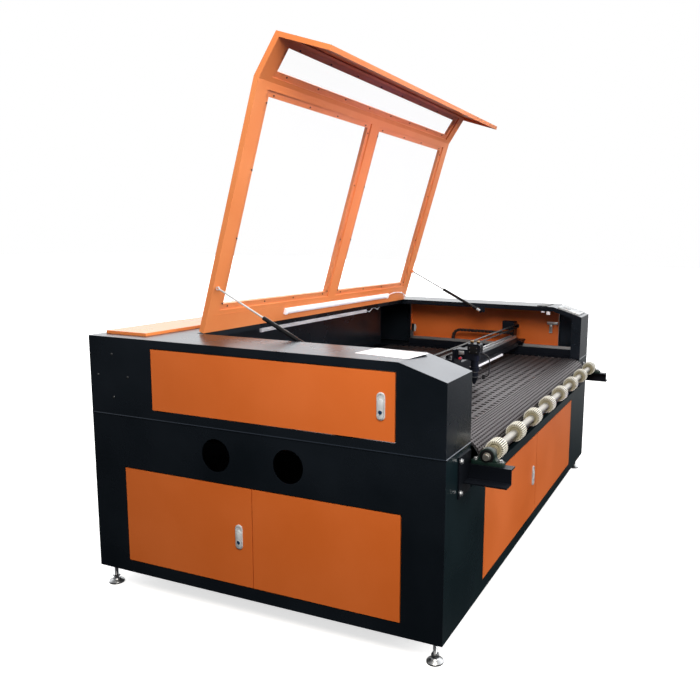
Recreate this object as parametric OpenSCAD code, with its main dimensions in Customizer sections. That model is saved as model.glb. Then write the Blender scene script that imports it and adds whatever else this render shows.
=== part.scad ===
/* [Cabinet] */
// Width of the cabinet over its side panels
cab_w = 2570; // [2300:10:2900]
// Depth of the cabinet from its front face to its rear face
cab_d = 1585; // [1500:5:1750]
// Height of the cabinet from its underside to the deck
cab_h = 1000; // [960:5:1060]
// Height of the seam between the lower cabinet and the upper walls
split_h = 680; // [670:1:700]
// Width of each side deck
deck_w = 250; // [235:1:280]
// Depth of the sloped front end of the deck
slope_d = 181; // [150:1:210]
// Drop of the sloped front end of the deck
slope_drop = 56; // [40:1:70]
// Thickness of the cabinet sheet
sheet_t = 2; // [1.5:0.1:2.5]
// Depth of the folded returns of the panels
fold_d = 20; // [18:1:26]
// Height of the levelling feet
foot_h = 90; // [70:1:110]
// Diameter of the two exhaust holes in the left panel
exhaust_dia = 132; // [100:1:150]
// Distance between the exhaust holes
exhaust_pitch = 330; // [300:1:400]
// Height of the exhaust holes over the cabinet's underside
exhaust_h = 569; // [560:1:580]

/* [Doors] */
// Gap round every door
door_gap = 4; // [3.6:0.1:5]
// Depth of the folded edge of the doors
door_fold = 18; // [16:1:20]
// Height of the lower doors
low_door_h = 402; // [350:1:420]
// Height of the lower doors over the cabinet's underside
low_door_z = 54; // [45:1:60]
// Distance of the lower side doors from the front and rear faces
low_door_margin = 166; // [150:1:220]
// Distance of the front doors from the side faces
front_door_margin = 447; // [380:1:500]
// Distance of the upper doors from the front face
up_door_front = 192; // [180:1:230]
// Distance of the upper doors from the rear face
up_door_rear = 323; // [300:1:360]
// Distance of the upper doors from the seam and from the deck
up_door_margin = 37; // [34:1:45]
// Height of the door lock plates
lock_h = 100; // [90:1:110]
// Width of the door lock plates
lock_w = 33; // [30:1:36]

/* [Lid] */
// Angle of the lid above its closed place
lid_open = 73.4; // [60:0.1:80]
// Thickness of the lid
lid_t = 24; // [22:1:28]
// Clear height of the two large windows
window_h = 883; // [700:1:900]
// Width of the bar between the two large windows
mullion_w = 134; // [100:1:160]
// Width of the lid's side borders up to the windows
border_w = 100; // [90:1:130]
// Height of the narrow window in the sloped part
slot_window_h = 100; // [80:1:110]
// Thickness of the window sheets
pane_t = 4; // [3:0.5:5]
// Distance of the lid hinge from the rear face
shelf_d = 345; // [330:1:370]

/* [Conveyor bed] */
// Height of the belt's top over the seam
belt_rise = 5; // [3:1:8]
// Thickness of the belt
belt_t = 5; // [4:0.5:6]
// Radius of the belt round the nose and the rear drum
belt_r = 82; // [78:1:84]
// Rows of slots along the belt's top
slot_rows = 12; // [6:1:12]
// Slots in one row
slots_in_row = 10; // [5:1:10]
// Number of cross ridges on the belt's top
ridge_count = 48; // [20:1:60]

/* [Feed roller] */
// Distance the roller brackets reach out of the front face
roller_reach = 167; // [165:1:185]
// Diameter of the feed shaft
shaft_dia = 25; // [22:0.5:27]
// Diameter of the toothed wheels
wheel_dia = 74; // [70:1:78]
// Width of the toothed wheels
wheel_w = 60; // [50:1:62]
// Number of toothed wheels
wheel_count = 8; // [4:1:8]
// Teeth of each wheel
wheel_teeth = 28; // [20:1:32]

/* [Gantry] */
// Distance of the gantry beam from the front face
gantry_y = 415; // [380:1:700]
// Height and depth of the gantry beam
beam_s = 60; // [50:1:62]
// Place of the laser head across the bed
head_x = -110; // [-700:1:700]
// Diameter of the lens tube
lens_dia = 40; // [36:1:44]
// Height of the nozzle tip over the belt
nozzle_gap = 17; // [10:1:30]

/* [Rear compartment] */
// Distance of the inner rear wall from the rear face
rear_box_d = 195; // [190:1:210]
// Diameter of the laser tube
tube_dia = 80; // [60:1:84]
// Length of the laser tube
tube_len = 1850; // [1400:10:1900]

/* [Hidden] */
$fn = 48;

// Colours
black_paint = [0.07, 0.09, 0.10];
orange_paint = [0.86, 0.42, 0.16];
bright_steel = [0.78, 0.79, 0.80];
cream_nylon = [0.88, 0.86, 0.75];
lamp_white = [0.95, 0.95, 0.97];

// Overrun of every cut, running gap of flat faces, radial gap of pins and shafts
overrun = 1;
slide_gap = 0.3;
pin_clear = 0.05;

// Places of the cabinet
front_y = roller_reach - (cab_d + roller_reach) / 2;
half_w = cab_w / 2;
inner_x = half_w - deck_w;
slope_a = atan(slope_drop / slope_d);
slope_len = norm([slope_d, slope_drop]);
front_top = cab_h - slope_drop;
deck_fold = 28;
post_fold = 60;
front_open_up = 44;
front_open_h = low_door_z + low_door_h + front_open_up;

// Doors
pin_r = 3;
pin_in = 8;
pin_over = 2;
pin_reach = door_gap + sheet_t + pin_over;
pin_root = 16;
low_door_w = (cab_d - 2 * low_door_margin - door_gap) / 2;
low_rear_y = low_door_margin + low_door_w + door_gap;
front_door_w = (cab_w - 2 * front_door_margin - door_gap) / 2;
up_door_w = cab_d - up_door_front - up_door_rear;
up_door_z = split_h + up_door_margin;
up_door_h = cab_h - split_h - 2 * up_door_margin;

// Locks
lock_t = 5;
lock_corner_r = 8;
lock_edge = 53;
low_lock_edge = 60;
lock_case_w = 20;
lock_case_h = 72;
lock_case_d = 16;
lock_low_z = low_door_z + low_door_h / 2;
handle_w = 14;
handle_len = 52;
handle_t = 4;
handle_pin_r = 1.5;
handle_seat = 0.6;
keyhole_r = 6;

// Feet
foot_in = 42;
foot_pad_r = 32;
foot_pad_h = 9;
foot_neck_r = 14;
foot_neck_h = 22;
foot_stem_r = 8;
foot_nut_r = 15;
foot_nut_h = 12;

// Inner frame
pan_t = 3;
pan_rim = 24;
frame_post = 60;
rail_in = 135;
rail_x = half_w - rail_in;
side_rail_w = 140;
side_rail_h = 60;
post_end = 40;
rail_end = 10;

// Belt and bed
belt_z = split_h + belt_rise;
bed_axis_z = belt_z - belt_r;
belt_gap = 20;
belt_half = inner_x - belt_gap;
plate_t = 8;
plate_gap = 1;
plate_x = belt_half + plate_gap;
bed_gap = 0.3;
nose_r = belt_r - belt_t - bed_gap;
nose_wall = 4;
bed_ear = 60;
cross_w = 40;
cross_h = 60;
cross_shares = [0.14, 0.38, 0.62, 0.86];
strip_w = 24;
strip_shares = [-0.8, -0.4, 0, 0.4, 0.8];
plate_drop = 66;
plate_rise = 73;
drum_shaft_r = 12.5;
drum_wall = 5;
drum_web = 8;
drum_web_in = 20;
drum_hole_r = 22;
drum_end = 12;
slot_l = 92;
slot_d = 14;
stagger_shares = [-0.25, 0.25];
ridge_w = 9;
ridge_h = 1.5;
ridge_side = 12;

// Feed roller
shaft_r = shaft_dia / 2;
shaft_drop = 48;
shaft_z = belt_z - shaft_drop;
wheel_r = wheel_dia / 2;
wheel_hub_r = 19;
wheel_rim = 12;
wheel_recess = 5;
tooth_h = 4;
tooth_share = 0.56;
wheel_first = 79;
wheel_last = 30;
wheel_pitch = (2 * belt_half - wheel_first - wheel_last) / (wheel_count - 1);
block_len = 127;
block_w = 38;
block_base = 14;
block_r = 30;
block_body_w = 31;
block_rise = 33;
block_bolt = 95;
block_bolt_r = 6;
block_in = 3;
bracket_t = 6;
bracket_h = 58;
bracket_top = shaft_z - block_rise;
bracket_in = 23;
bracket_web = inner_x + bracket_in;
bracket_top_w = 47;
bracket_low_w = 60;
mount_plate_w = 125;
mount_plate_h = 153;
mount_plate_up = 51;
slot_bolt_r = 6;
slot_bolt_in = 18;
roller_out = 70;
wheel_clear = 1;
nose_y = sqrt(pow(belt_r + wheel_r + wheel_clear, 2) - pow(shaft_z - bed_axis_z, 2)) - roller_out;
shaft_over = 14;
block_x = bracket_web - block_w / 2 - block_in;

// Rails and gantry
rail_beam_w = 60;
rail_beam_h = 42;
rail_w = 20;
rail_h = 16;
rail_front = 60;
rail_rear = 30;
rail_short = 20;
slider_w = 44;
slider_len = 100;
slider_h = 25;
slider_drop = 11;
end_plate_t = 12;
end_plate_out = 50;
end_web = 10;
beam_wall = 5;
beam_slot_w = 8;
beam_slot_d = 6;
rail_top = split_h + rail_beam_h + rail_h;
slider_top = rail_top - slider_drop + slider_h;
beam_short = 65;
beam_up = 43;
beam_x = rail_x - beam_short;
beam_z = split_h + beam_up;
beam_top = beam_z + beam_s;
x_rail_w = 15;
x_rail_h = 15;
x_rail_in = 8;
motor_s = 57;
motor_len = 76;
motor_out = 25;
motor_up = 86;
motor_x = rail_x + motor_out;
motor_z = slider_top + end_plate_t + motor_up;
motor_plate_t = 6;
motor_plate_w = 75;
pulley_r = 12;
pulley_shaft_r = 4;
belt_w = 15;
x_belt_t = 1.5;
belt_back = 25;
idler_in = 30;
belt_y = gantry_y + belt_back;
idler_x = -(rail_x - idler_in);
lamp_w = 12;
lamp_drop = 6;
lamp_h = 9;
lamp_from = 355;
lamp_len = 475;

// Carriage and head
car_w = 110;
car_plate_t = 10;
car_out = 20;
car_drop = 3;
car_block_h = 28;
car_top_t = 8;
car_front = gantry_y - car_out;
clamp_w = 30;
head_w = 60;
head_h = 55;
head_cut = 5;
head_up = 165;
head_z = belt_z + head_up;
head_out = 90;
head_arm_h = 50;
head_y = car_front - head_out;
sleeve_r = lens_dia / 2 + 7;
sleeve_h = 30;
lens_r = lens_dia / 2;
lens_wall = 4;
nozzle_r = 6;
nozzle_h = 34;
nozzle_z = belt_z + nozzle_gap;
nozzle_bore_r = 2;
collar_r = lens_r + 6;
collar_h = 18;
collar_up = 77;
lens_in = 12;
focus_travel = 25;
knob_r = 8;
knob_h = 12;
knob_place_share = 0.28;
arm_r = 2.5;
arm_tip_r = 8;
arm_tip_h = 24;
arm_up = 6;
arm_len = 12;
arm_bend_r = 34;
arm_fall = 58;
arm_hook_r = 22;

// Drag chain
chain_w = 26;
chain_h = 18;
chain_core = 10;
chain_r = 53;
chain_link = 24;
chain_link_gap = 4;
chain_out = 50;
chain_reach = 442;
chain_low_from = 190;
chain_up = chain_h / 2 + slide_gap;
chain_x = rail_x + chain_out;
chain_bend = gantry_y + chain_reach;
chain_root = gantry_y + chain_low_from;
chain_z = split_h + chain_up;
chain_end = gantry_y + beam_s;

// Rear compartment
wall_y = cab_d - rear_box_d;
hinge_y = cab_d - shelf_d;
hinge_up = 6;
hinge_z = cab_h + hinge_up;
shelf_gap = 4;
knuckle_r = hinge_up - slide_gap;
knuckle_len = 60;
knuckle_gap = 0.5;
hinge_pin_r = 3;
hinge_leaf = 30;
hinge_shares = [-0.85, -0.3, 0.3, 0.85];
tube_r = tube_dia / 2;
tube_up = 110;
tube_z = split_h + tube_up;
tube_y = cab_d - rear_box_d / 2;
tube_cap = 60;
support_w = 40;
support_foot = 100;
support_shares = [-0.36, 0.36];
cover_in = 80;
cover_front = 32;
cover_rear = 15;
cover_fold = 12;
cover_open_in = 40;
cover_back = 6;
cover_shares = [-0.8, 0, 0.8];
mirror_s = 50;
mirror_t = 14;
mirror_r = 16;
mirror_post = 14;

// Lid
lid_gap = 5;
lid_half = inner_x - lid_gap;
lid_ahead = 11;
lid_main = hinge_y - slope_d + lid_ahead;
lip_gap = 9;
lid_lip = front_top - belt_z - lip_gap;
lid_end = 4;
lip_fold = 20;
window_low = 127;
ledge_w = 26;
ledge_d = 8;
slot_window_low = 50;
drain_r = 5;
window_w = (2 * lid_half - 2 * border_w - mullion_w) / 2;
lamp_bar_w = 30;
lamp_bar_h = 14;
lamp_bar_len = 1175;
lid_lamp_s = 52;
lid_lamp_shift = 142;
rear_lamp_shift = 207;
rear_lamp_drop = 78;
rear_lamp_z = cab_h - rear_lamp_drop;
lead_r = 2;
rear_lead_shares = [[0, 0], [0.25, -1], [0.5, 0.5], [0.75, -0.5], [0.96, 1]];
lid_lead_shares = [[0, 0], [0.3, -1], [0.7, -0.5], [0.9, 1], [0.95, 3.2]];

// Gas struts
strut_in = 24;
strut_ahead = 590;
strut_drop = 50;
strut_x = inner_x - strut_in;
strut_low = [hinge_y - strut_ahead, cab_h - strut_drop];
strut_s = 208;
strut_n = 40;
rod_r = 4;
rod_show = 257;
cyl_r = 9;
cyl_bore_r = 7;
cyl_len = 262;
gland_len = 14;
rod_in = 40;
piston_len = 10;
eye_r = 8;
eye_w = 8;
eye_bore_r = 4;
ear_t = 4;
ear_h = 44;
ear_w = 34;
nut_len = 14;

// Control panel
panel_w = 200;
panel_len = 140;
panel_t = 8;
panel_frame = 10;
panel_sunk = 3;

// Rotation of a (y, z) pair of the closed lid to its open place about the hinge
function lid_turn(p) = [hinge_y + p[0] * cos(lid_open) + p[1] * sin(lid_open),
    hinge_z - p[0] * sin(lid_open) + p[1] * cos(lid_open)];
strut_up = lid_turn([-strut_s, -strut_n]);
strut_vec = strut_low - strut_up;
strut_len = norm(strut_vec);
strut_a = atan2(strut_vec[1], strut_vec[0]);

// Frame of the cabinet: x from its middle, y from its front face, z from its underside
module at_cabinet() {
    translate([0, front_y, foot_h])
        children();
}

// Frame of a side panel: x runs to the rear, y runs inward, z runs up
module on_right() {
    translate([half_w, 0, 0])
        rotate([0, 0, 90])
            children();
}

module on_left() {
    mirror([1, 0, 0])
        on_right()
            children();
}

module both_sides() {
    children();
    mirror([1, 0, 0])
        children();
}

// Round bar along x, centred on x = 0
module bar_x(r, len) {
    rotate([0, 90, 0])
        cylinder(r = r, h = len, center = true);
}

module round_rect(w, h, r) {
    square([w - 2 * r, h], center = true);
    square([w, h - 2 * r], center = true);
    for (sx = [-1, 1], sz = [-1, 1])
        translate([sx * (w / 2 - r), sz * (h / 2 - r)])
            circle(r = r);
}

// Round cord of eight sides along a list of points
cord_sides = 8;
cord_side_shares = [0, 0.3, 1];
function unit(v) = v / norm(v);
function along(p, i) = unit(p[min(i + 1, len(p) - 1)] - p[max(i - 1, 0)]);
function ring(p, i, r) = let (t = along(p, i), a = unit(cross(t, cord_side_shares)), b = cross(t, a))
    [for (k = [0 : cord_sides - 1])
        p[i] + r * (cos(360 * k / cord_sides) * a + sin(360 * k / cord_sides) * b)];

module cord(p, r) {
    n = cord_sides;
    last = (len(p) - 1) * n;
    polyhedron(points = [for (i = [0 : len(p) - 1]) each ring(p, i, r)],
        faces = concat([[for (k = [0 : n - 1]) k]], [[for (k = [n - 1 : -1 : 0]) last + k]],
            [for (i = [0 : len(p) - 2], k = [0 : n - 1])
                [i * n + k, (i + 1) * n + k, (i + 1) * n + (k + 1) % n, i * n + (k + 1) % n]]));
}

// Hole for a door, its folded rim and the pivot bores in the rim
module door_hole(x, z, w, h) {
    translate([x - door_gap, -overrun, z - door_gap])
        cube([w + 2 * door_gap, fold_d + 2 * overrun, h + 2 * door_gap]);
}

module door_rim(x, z, w, h) {
    edge = door_gap + sheet_t;
    translate([x - edge, 0, z - edge])
        cube([w + 2 * edge, fold_d, h + 2 * edge]);
}

module pivot_bores(z, h, places) {
    edge = door_gap + sheet_t + overrun;
    for (x = places)
        translate([x, pin_in, z - edge])
            cylinder(r = pin_r + pin_clear, h = h + 2 * edge);
}

module panel_with_door(x, z, w, h, pins) {
    difference() {
        union() {
            children();
            door_rim(x, z, w, h);
        }
        door_hole(x, z, w, h);
        pivot_bores(z, h, pins);
    }
}

// Folded door with pivot pins at one edge and a window for its lock
module pan_door(w, h, pin_x) {
    color(orange_paint) {
        difference() {
            cube([w, door_fold, h]);
            translate([sheet_t, sheet_t, sheet_t])
                cube([w - 2 * sheet_t, door_fold, h - 2 * sheet_t]);
            children();
        }
        for (z = [-pin_reach, h - pin_root])
            translate([pin_x, pin_in, z])
                cylinder(r = pin_r, h = pin_reach + pin_root);
    }
}

module lock_window(x, z) {
    translate([x - lock_case_w / 2 - slide_gap, -overrun, z - lock_case_h / 2 - slide_gap])
        cube([lock_case_w + 2 * slide_gap, sheet_t + 2 * overrun, lock_case_h + 2 * slide_gap]);
}

// Lock plate on the door's face, with its case inside and a seat for the handle
module lock_case() {
    handle_z = handle_len / 2;
    color(bright_steel)
        difference() {
            union() {
                rotate([90, 0, 0])
                    linear_extrude(lock_t)
                        round_rect(lock_w, lock_h, lock_corner_r);
                translate([-lock_case_w / 2, 0, -lock_case_h / 2])
                    cube([lock_case_w, lock_case_d, lock_case_h]);
            }
            translate([-handle_w / 2 - handle_seat, -lock_t - overrun, -handle_z - handle_seat])
                cube([handle_w + 2 * handle_seat, handle_t + slide_gap + overrun,
                    handle_len + handle_t + 2 * handle_seat]);
            translate([0, -lock_t + handle_t / 2, handle_z])
                bar_x(handle_pin_r + pin_clear, lock_w - lock_corner_r);
            translate([0, -lock_t - overrun, -lock_h / 2 + keyhole_r + handle_seat + lock_t])
                rotate([-90, 0, 0])
                    cylinder(r = keyhole_r, h = lock_t);
        }
}

// Flush lever that swings out of the lock plate about its upper end
module lock_lever() {
    color(bright_steel)
        translate([0, -lock_t, -handle_len / 2]) {
            translate([-handle_w / 2, 0, 0])
                cube([handle_w, handle_t, handle_len]);
            translate([0, handle_t / 2, handle_len]) {
                bar_x(handle_t / 2, handle_w);
                bar_x(handle_pin_r, lock_w - lock_corner_r - 2 * slide_gap);
            }
        }
}

// Folded floor of the cabinet
module floor_pan() {
    color(black_paint)
        at_cabinet()
            difference() {
                translate([-half_w + sheet_t, sheet_t, 0])
                    cube([cab_w - 2 * sheet_t, cab_d - 2 * sheet_t, pan_rim]);
                translate([-half_w + 2 * sheet_t, 2 * sheet_t, pan_t])
                    cube([cab_w - 4 * sheet_t, cab_d - 4 * sheet_t, pan_rim]);
            }
}

// Four posts and two side rails that carry the bed and the Y rails
module inner_frame() {
    post_h = split_h - side_rail_h - pan_t;
    color(black_paint)
        at_cabinet()
            both_sides() {
                translate([rail_x - side_rail_w / 2, rail_end, split_h - side_rail_h])
                    cube([side_rail_w, cab_d - 2 * rail_end, side_rail_h]);
                for (y = [post_end, cab_d - post_end - frame_post])
                    translate([rail_x - frame_post / 2, y, pan_t])
                        cube([frame_post, frame_post, post_h]);
            }
}

module lower_side_sheet() {
    pins = [low_door_margin + pin_in, cab_d - low_door_margin - pin_in];
    panel_with_door(low_door_margin, low_door_z, cab_d - 2 * low_door_margin, low_door_h, pins) {
        cube([cab_d, sheet_t, split_h]);
        translate([sheet_t, 0, split_h - sheet_t])
            cube([cab_d - 2 * sheet_t, fold_d, sheet_t]);
    }
}

module lower_left_panel() {
    color(black_paint)
        at_cabinet()
            on_left()
                difference() {
                    lower_side_sheet();
                    for (side = [-1, 1])
                        translate([cab_d / 2 + side * exhaust_pitch / 2, -overrun, exhaust_h])
                            rotate([-90, 0, 0])
                                cylinder(d = exhaust_dia, h = sheet_t + 2 * overrun, $fn = 96);
                }
}

module lower_right_panel() {
    color(black_paint)
        at_cabinet()
            on_right()
                lower_side_sheet();
}

module lower_front_panel() {
    width = cab_w - 2 * sheet_t;
    door_x = -half_w + front_door_margin;
    door_w = cab_w - 2 * front_door_margin;
    color(black_paint)
        at_cabinet()
            panel_with_door(door_x, low_door_z, door_w, low_door_h,
                [door_x + pin_in, door_x + door_w - pin_in]) {
                translate([-width / 2, 0, 0])
                    cube([width, sheet_t, front_open_h]);
                translate([-inner_x, 0, front_open_h - sheet_t])
                    cube([2 * inner_x, fold_d, sheet_t]);
                both_sides()
                    translate([inner_x, 0, 0])
                        cube([deck_w - sheet_t, sheet_t, split_h]);
            }
}

// Rear sheet of the lower cabinet with two fields of air slots
vent_slots = 8;
vent_pitch = 22;
vent_w = 200;
vent_h = 8;
vent_place_share = 0.28;
vent_z = 360;
module lower_rear_panel() {
    width = cab_w - 2 * sheet_t;
    color(black_paint)
        at_cabinet()
            difference() {
                translate([-width / 2, cab_d - sheet_t, 0])
                    cube([width, sheet_t, split_h]);
                for (side = [-1, 1], i = [0 : vent_slots - 1])
                    translate([side * vent_place_share * cab_w - vent_w / 2,
                        cab_d - sheet_t - overrun, vent_z + i * vent_pitch])
                        cube([vent_w, sheet_t + 2 * overrun, vent_h]);
            }
}

// Folded upper wall: outer skin, deck with its slope, front end and inner returns
module upper_wall_sheet() {
    top = [[0, front_top], [slope_d, cab_h], [cab_d, cab_h]];
    low = [[cab_d, cab_h - sheet_t], [slope_d, cab_h - sheet_t], [0, front_top - sheet_t]];
    lip = [[cab_d, cab_h - deck_fold], [slope_d, cab_h - deck_fold], [0, front_top - deck_fold]];
    panel_with_door(up_door_front, up_door_z, up_door_w, up_door_h, [cab_d - up_door_rear - pin_in]) {
        translate([0, sheet_t, 0])
            rotate([90, 0, 0])
                linear_extrude(sheet_t)
                    polygon(concat(top, [[cab_d, split_h], [0, split_h]]));
        translate([0, deck_w, 0])
            rotate([90, 0, 0])
                linear_extrude(deck_w)
                    polygon(concat(top, low));
        translate([0, deck_w, 0])
            rotate([90, 0, 0])
                linear_extrude(sheet_t)
                    polygon(concat([top[0], top[1], [hinge_y, cab_h]],
                        [[hinge_y, cab_h - deck_fold], lip[1], lip[2]]));
        translate([0, 0, split_h])
            cube([sheet_t, deck_w, front_top - split_h]);
        translate([0, deck_w - sheet_t, split_h])
            cube([post_fold, sheet_t, front_top - split_h]);
        translate([0, 0, split_h])
            cube([cab_d - sheet_t, fold_d, sheet_t]);
    }
}

// Plate on the deck's inner return that carries the lower end of a gas strut
module strut_ear() {
    translate([strut_low[0] - ear_w / 2, deck_w, strut_low[1] - eye_r])
        cube([ear_w, ear_t, ear_h]);
    translate([strut_low[0], deck_w, strut_low[1]])
        rotate([-90, 0, 0])
            cylinder(r = eye_bore_r, h = strut_in - cyl_r - 2 * slide_gap);
}

module upper_left_wall() {
    color(black_paint)
        at_cabinet()
            on_left() {
                upper_wall_sheet();
                strut_ear();
            }
}

module upper_right_wall() {
    color(black_paint)
        at_cabinet()
            on_right() {
                upper_wall_sheet();
                strut_ear();
            }
}

// Fixed hinge knuckles with their pins and leaves, or the moving knuckles between them
module knuckles(shares, fixed) {
    for (x = [for (s = shares) s * lid_half])
        if (fixed) {
            for (side = [-1, 1])
                translate([x + side * (knuckle_len + knuckle_gap), 0, 0]) {
                    bar_x(knuckle_r, knuckle_len);
                    translate([-knuckle_len / 2, 0, -hinge_up])
                        cube([knuckle_len, knuckle_r, hinge_up]);
                }
            translate([x, 0, 0])
                bar_x(hinge_pin_r, 2 * knuckle_len);
        } else
            translate([x, 0, 0])
                difference() {
                    bar_x(knuckle_r, knuckle_len);
                    bar_x(hinge_pin_r + pin_clear, knuckle_len + 2 * overrun);
                }
}

// Rear box: shelf, inner wall, floor and rear wall, with the fixed half of the lid hinge
module rear_housing() {
    shelf_y = hinge_y + shelf_gap;
    top_w = 2 * (inner_x - slide_gap);
    wide = cab_w - 2 * sheet_t;
    color(black_paint)
        at_cabinet() {
            difference() {
                union() {
                    translate([-top_w / 2, shelf_y, cab_h - sheet_t])
                        cube([top_w, cab_d - shelf_y, sheet_t]);
                    translate([-top_w / 2, shelf_y, cab_h - deck_fold])
                        cube([top_w, sheet_t, deck_fold]);
                    translate([-top_w / 2, wall_y, split_h])
                        cube([top_w, sheet_t, cab_h - split_h]);
                    translate([-top_w / 2, wall_y, split_h])
                        cube([top_w, rear_box_d, sheet_t]);
                    translate([-wide / 2, cab_d - sheet_t, split_h])
                        cube([wide, sheet_t, cab_h - split_h - sheet_t]);
                }
                translate([-inner_x + cover_open_in, wall_y + fold_d, cab_h - sheet_t - overrun])
                    cube([2 * (inner_x - cover_open_in), rear_box_d - 2 * fold_d,
                        sheet_t + 2 * overrun]);
            }
            translate([0, hinge_y, hinge_z])
                knuckles(hinge_shares, true);
            translate([0, cab_d - cover_rear + cover_back, hinge_z])
                knuckles(cover_shares, true);
            for (s = hinge_shares, side = [-1, 1])
                translate([s * lid_half + side * (knuckle_len + knuckle_gap) - knuckle_len / 2,
                    hinge_y, cab_h])
                    cube([knuckle_len, hinge_leaf, sheet_t]);
        }
}

// Foot: rubber-seated pad, neck, threaded stem and jam nut under the floor
module levelling_feet() {
    color(bright_steel)
        at_cabinet()
            for (sx = [-1, 1], y = [foot_in, cab_d - foot_in])
                translate([sx * (half_w - foot_in), y, -foot_h]) {
                    rotate_extrude()
                        polygon([[0, 0], [foot_pad_r, 0], [foot_pad_r, foot_pad_h],
                            [foot_neck_r, foot_neck_h], [foot_stem_r, foot_neck_h],
                            [foot_stem_r, foot_h], [0, foot_h]]);
                    translate([0, 0, foot_h - foot_nut_h])
                        cylinder(r = foot_nut_r, h = foot_nut_h, $fn = 6);
                }
}

// Bed: side plates, nose tube, cross tubes, wear strips and the ears on the side rails
module bed_frame() {
    drum_y = wall_y - belt_r - fold_d;
    span = drum_y - nose_y;
    ear_len = rail_x - side_rail_w / 2 - plate_x;
    strip_z = bed_axis_z + cross_h / 2;
    color(bright_steel)
        at_cabinet() {
            difference() {
                union() {
                    both_sides() {
                        translate([plate_x, nose_y, bed_axis_z - plate_drop])
                            cube([plate_t, span, plate_drop + plate_rise]);
                        for (y = [nose_y, drum_y])
                            translate([plate_x + plate_t / 2, y, bed_axis_z])
                                bar_x(plate_drop, plate_t);
                        for (s = [cross_shares[0], cross_shares[3]])
                            translate([plate_x, nose_y + s * span, bed_axis_z - bed_ear / 2 + cross_h / 2])
                                cube([ear_len, bed_ear, bed_ear]);
                    }
                    translate([0, nose_y, bed_axis_z])
                        bar_x(nose_r, 2 * plate_x);
                    for (s = cross_shares)
                        translate([-plate_x, nose_y + s * span, bed_axis_z - cross_h / 2])
                            cube([2 * plate_x, cross_w, cross_h]);
                    for (s = strip_shares)
                        translate([s * belt_half - strip_w / 2, nose_y, strip_z])
                            cube([strip_w, span - belt_r - fold_d, nose_r - cross_h / 2]);
                }
                translate([0, nose_y, bed_axis_z])
                    bar_x(nose_r - nose_wall, 2 * (plate_x + plate_t + overrun));
                translate([0, drum_y, bed_axis_z])
                    bar_x(drum_shaft_r + pin_clear, 2 * (plate_x + plate_t + overrun));
            }
        }
}

module belt_loop(r, y0, y1) {
    for (y = [y0, y1])
        translate([y, bed_axis_z])
            circle(r = r, $fn = 96);
    translate([y0, bed_axis_z - r])
        square([y1 - y0, 2 * r]);
}

// Slatted mesh belt: a closed band with cross ridges and staggered slots
module conveyor_belt() {
    drum_y = wall_y - belt_r - fold_d;
    span = drum_y - nose_y;
    pitch_y = span / (slot_rows + 1);
    pitch_x = 2 * belt_half / (slots_in_row + 1);
    ridge_pitch = span / ridge_count;
    color([0.42, 0.40, 0.40])
        at_cabinet()
            difference() {
                union() {
                    translate([-belt_half, 0, 0])
                        rotate([90, 0, 90])
                            linear_extrude(2 * belt_half)
                                difference() {
                                    belt_loop(belt_r - ridge_h, nose_y, drum_y);
                                    belt_loop(belt_r - belt_t, nose_y, drum_y);
                                }
                    for (i = [0 : ridge_count - 1])
                        translate([-belt_half + ridge_side,
                            nose_y + i * ridge_pitch + (ridge_pitch - ridge_w) / 2,
                            belt_z - ridge_h - slide_gap])
                            cube([2 * (belt_half - ridge_side), ridge_w, ridge_h + slide_gap]);
                }
                for (i = [1 : slot_rows], j = [0 : slots_in_row - 1])
                    translate([-belt_half + (j + 1 + stagger_shares[i % 2]) * pitch_x - slot_l / 2,
                        nose_y + i * pitch_y - slot_d / 2, belt_z - belt_t - overrun])
                        cube([slot_l, slot_d, belt_t + 2 * overrun]);
            }
}

// Drum at the rear end of the belt: tube, two pierced webs and a shaft in each side plate
module rear_drum() {
    drum_y = wall_y - belt_r - fold_d;
    web_x = belt_half - drum_web_in;
    color(bright_steel)
        at_cabinet()
            translate([0, drum_y, bed_axis_z]) {
                difference() {
                    bar_x(nose_r, 2 * belt_half);
                    bar_x(nose_r - drum_wall, 2 * (belt_half + overrun));
                }
                difference() {
                    both_sides()
                        translate([web_x, 0, 0])
                            bar_x(nose_r - drum_wall / 2, drum_web);
                    for (a = [0 : 90 : 270])
                        rotate([a, 0, 0])
                            translate([0, nose_r / 2, 0])
                                bar_x(drum_hole_r, 2 * belt_half);
                }
                bar_x(drum_shaft_r, 2 * (plate_x + plate_t + drum_end));
            }
}

// Z-section arms on slotted plates that carry the feed roller
module roller_brackets() {
    plate_top = bracket_top + mount_plate_up;
    shelf_z = bracket_top - bracket_t;
    color(black_paint)
        at_cabinet()
            both_sides() {
                difference() {
                    translate([inner_x + bracket_t, -bracket_t, plate_top - mount_plate_h])
                        cube([mount_plate_w, bracket_t, mount_plate_h]);
                    for (side = [0, 1])
                        translate([inner_x + bracket_t + mount_plate_w - slot_bolt_in, -bracket_t - overrun,
                            plate_top - slot_bolt_in - side * (mount_plate_h - 2 * slot_bolt_in)])
                            rotate([-90, 0, 0])
                                cylinder(r = slot_bolt_r, h = bracket_t + 2 * overrun);
                }
                translate([bracket_web, -roller_reach, bracket_top - bracket_h])
                    cube([bracket_t, roller_reach, bracket_h]);
                difference() {
                    translate([bracket_web + bracket_t - bracket_top_w, -roller_reach, shelf_z])
                        cube([bracket_top_w, roller_reach - bracket_t, bracket_t]);
                    for (side = [-1, 1])
                        translate([block_x, -roller_out + side * block_bolt / 2, shelf_z - overrun])
                            cylinder(r = block_bolt_r, h = bracket_t + 2 * overrun);
                }
                translate([bracket_web, -roller_reach, bracket_top - bracket_h])
                    cube([bracket_low_w, roller_reach, bracket_t]);
            }
}

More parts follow.
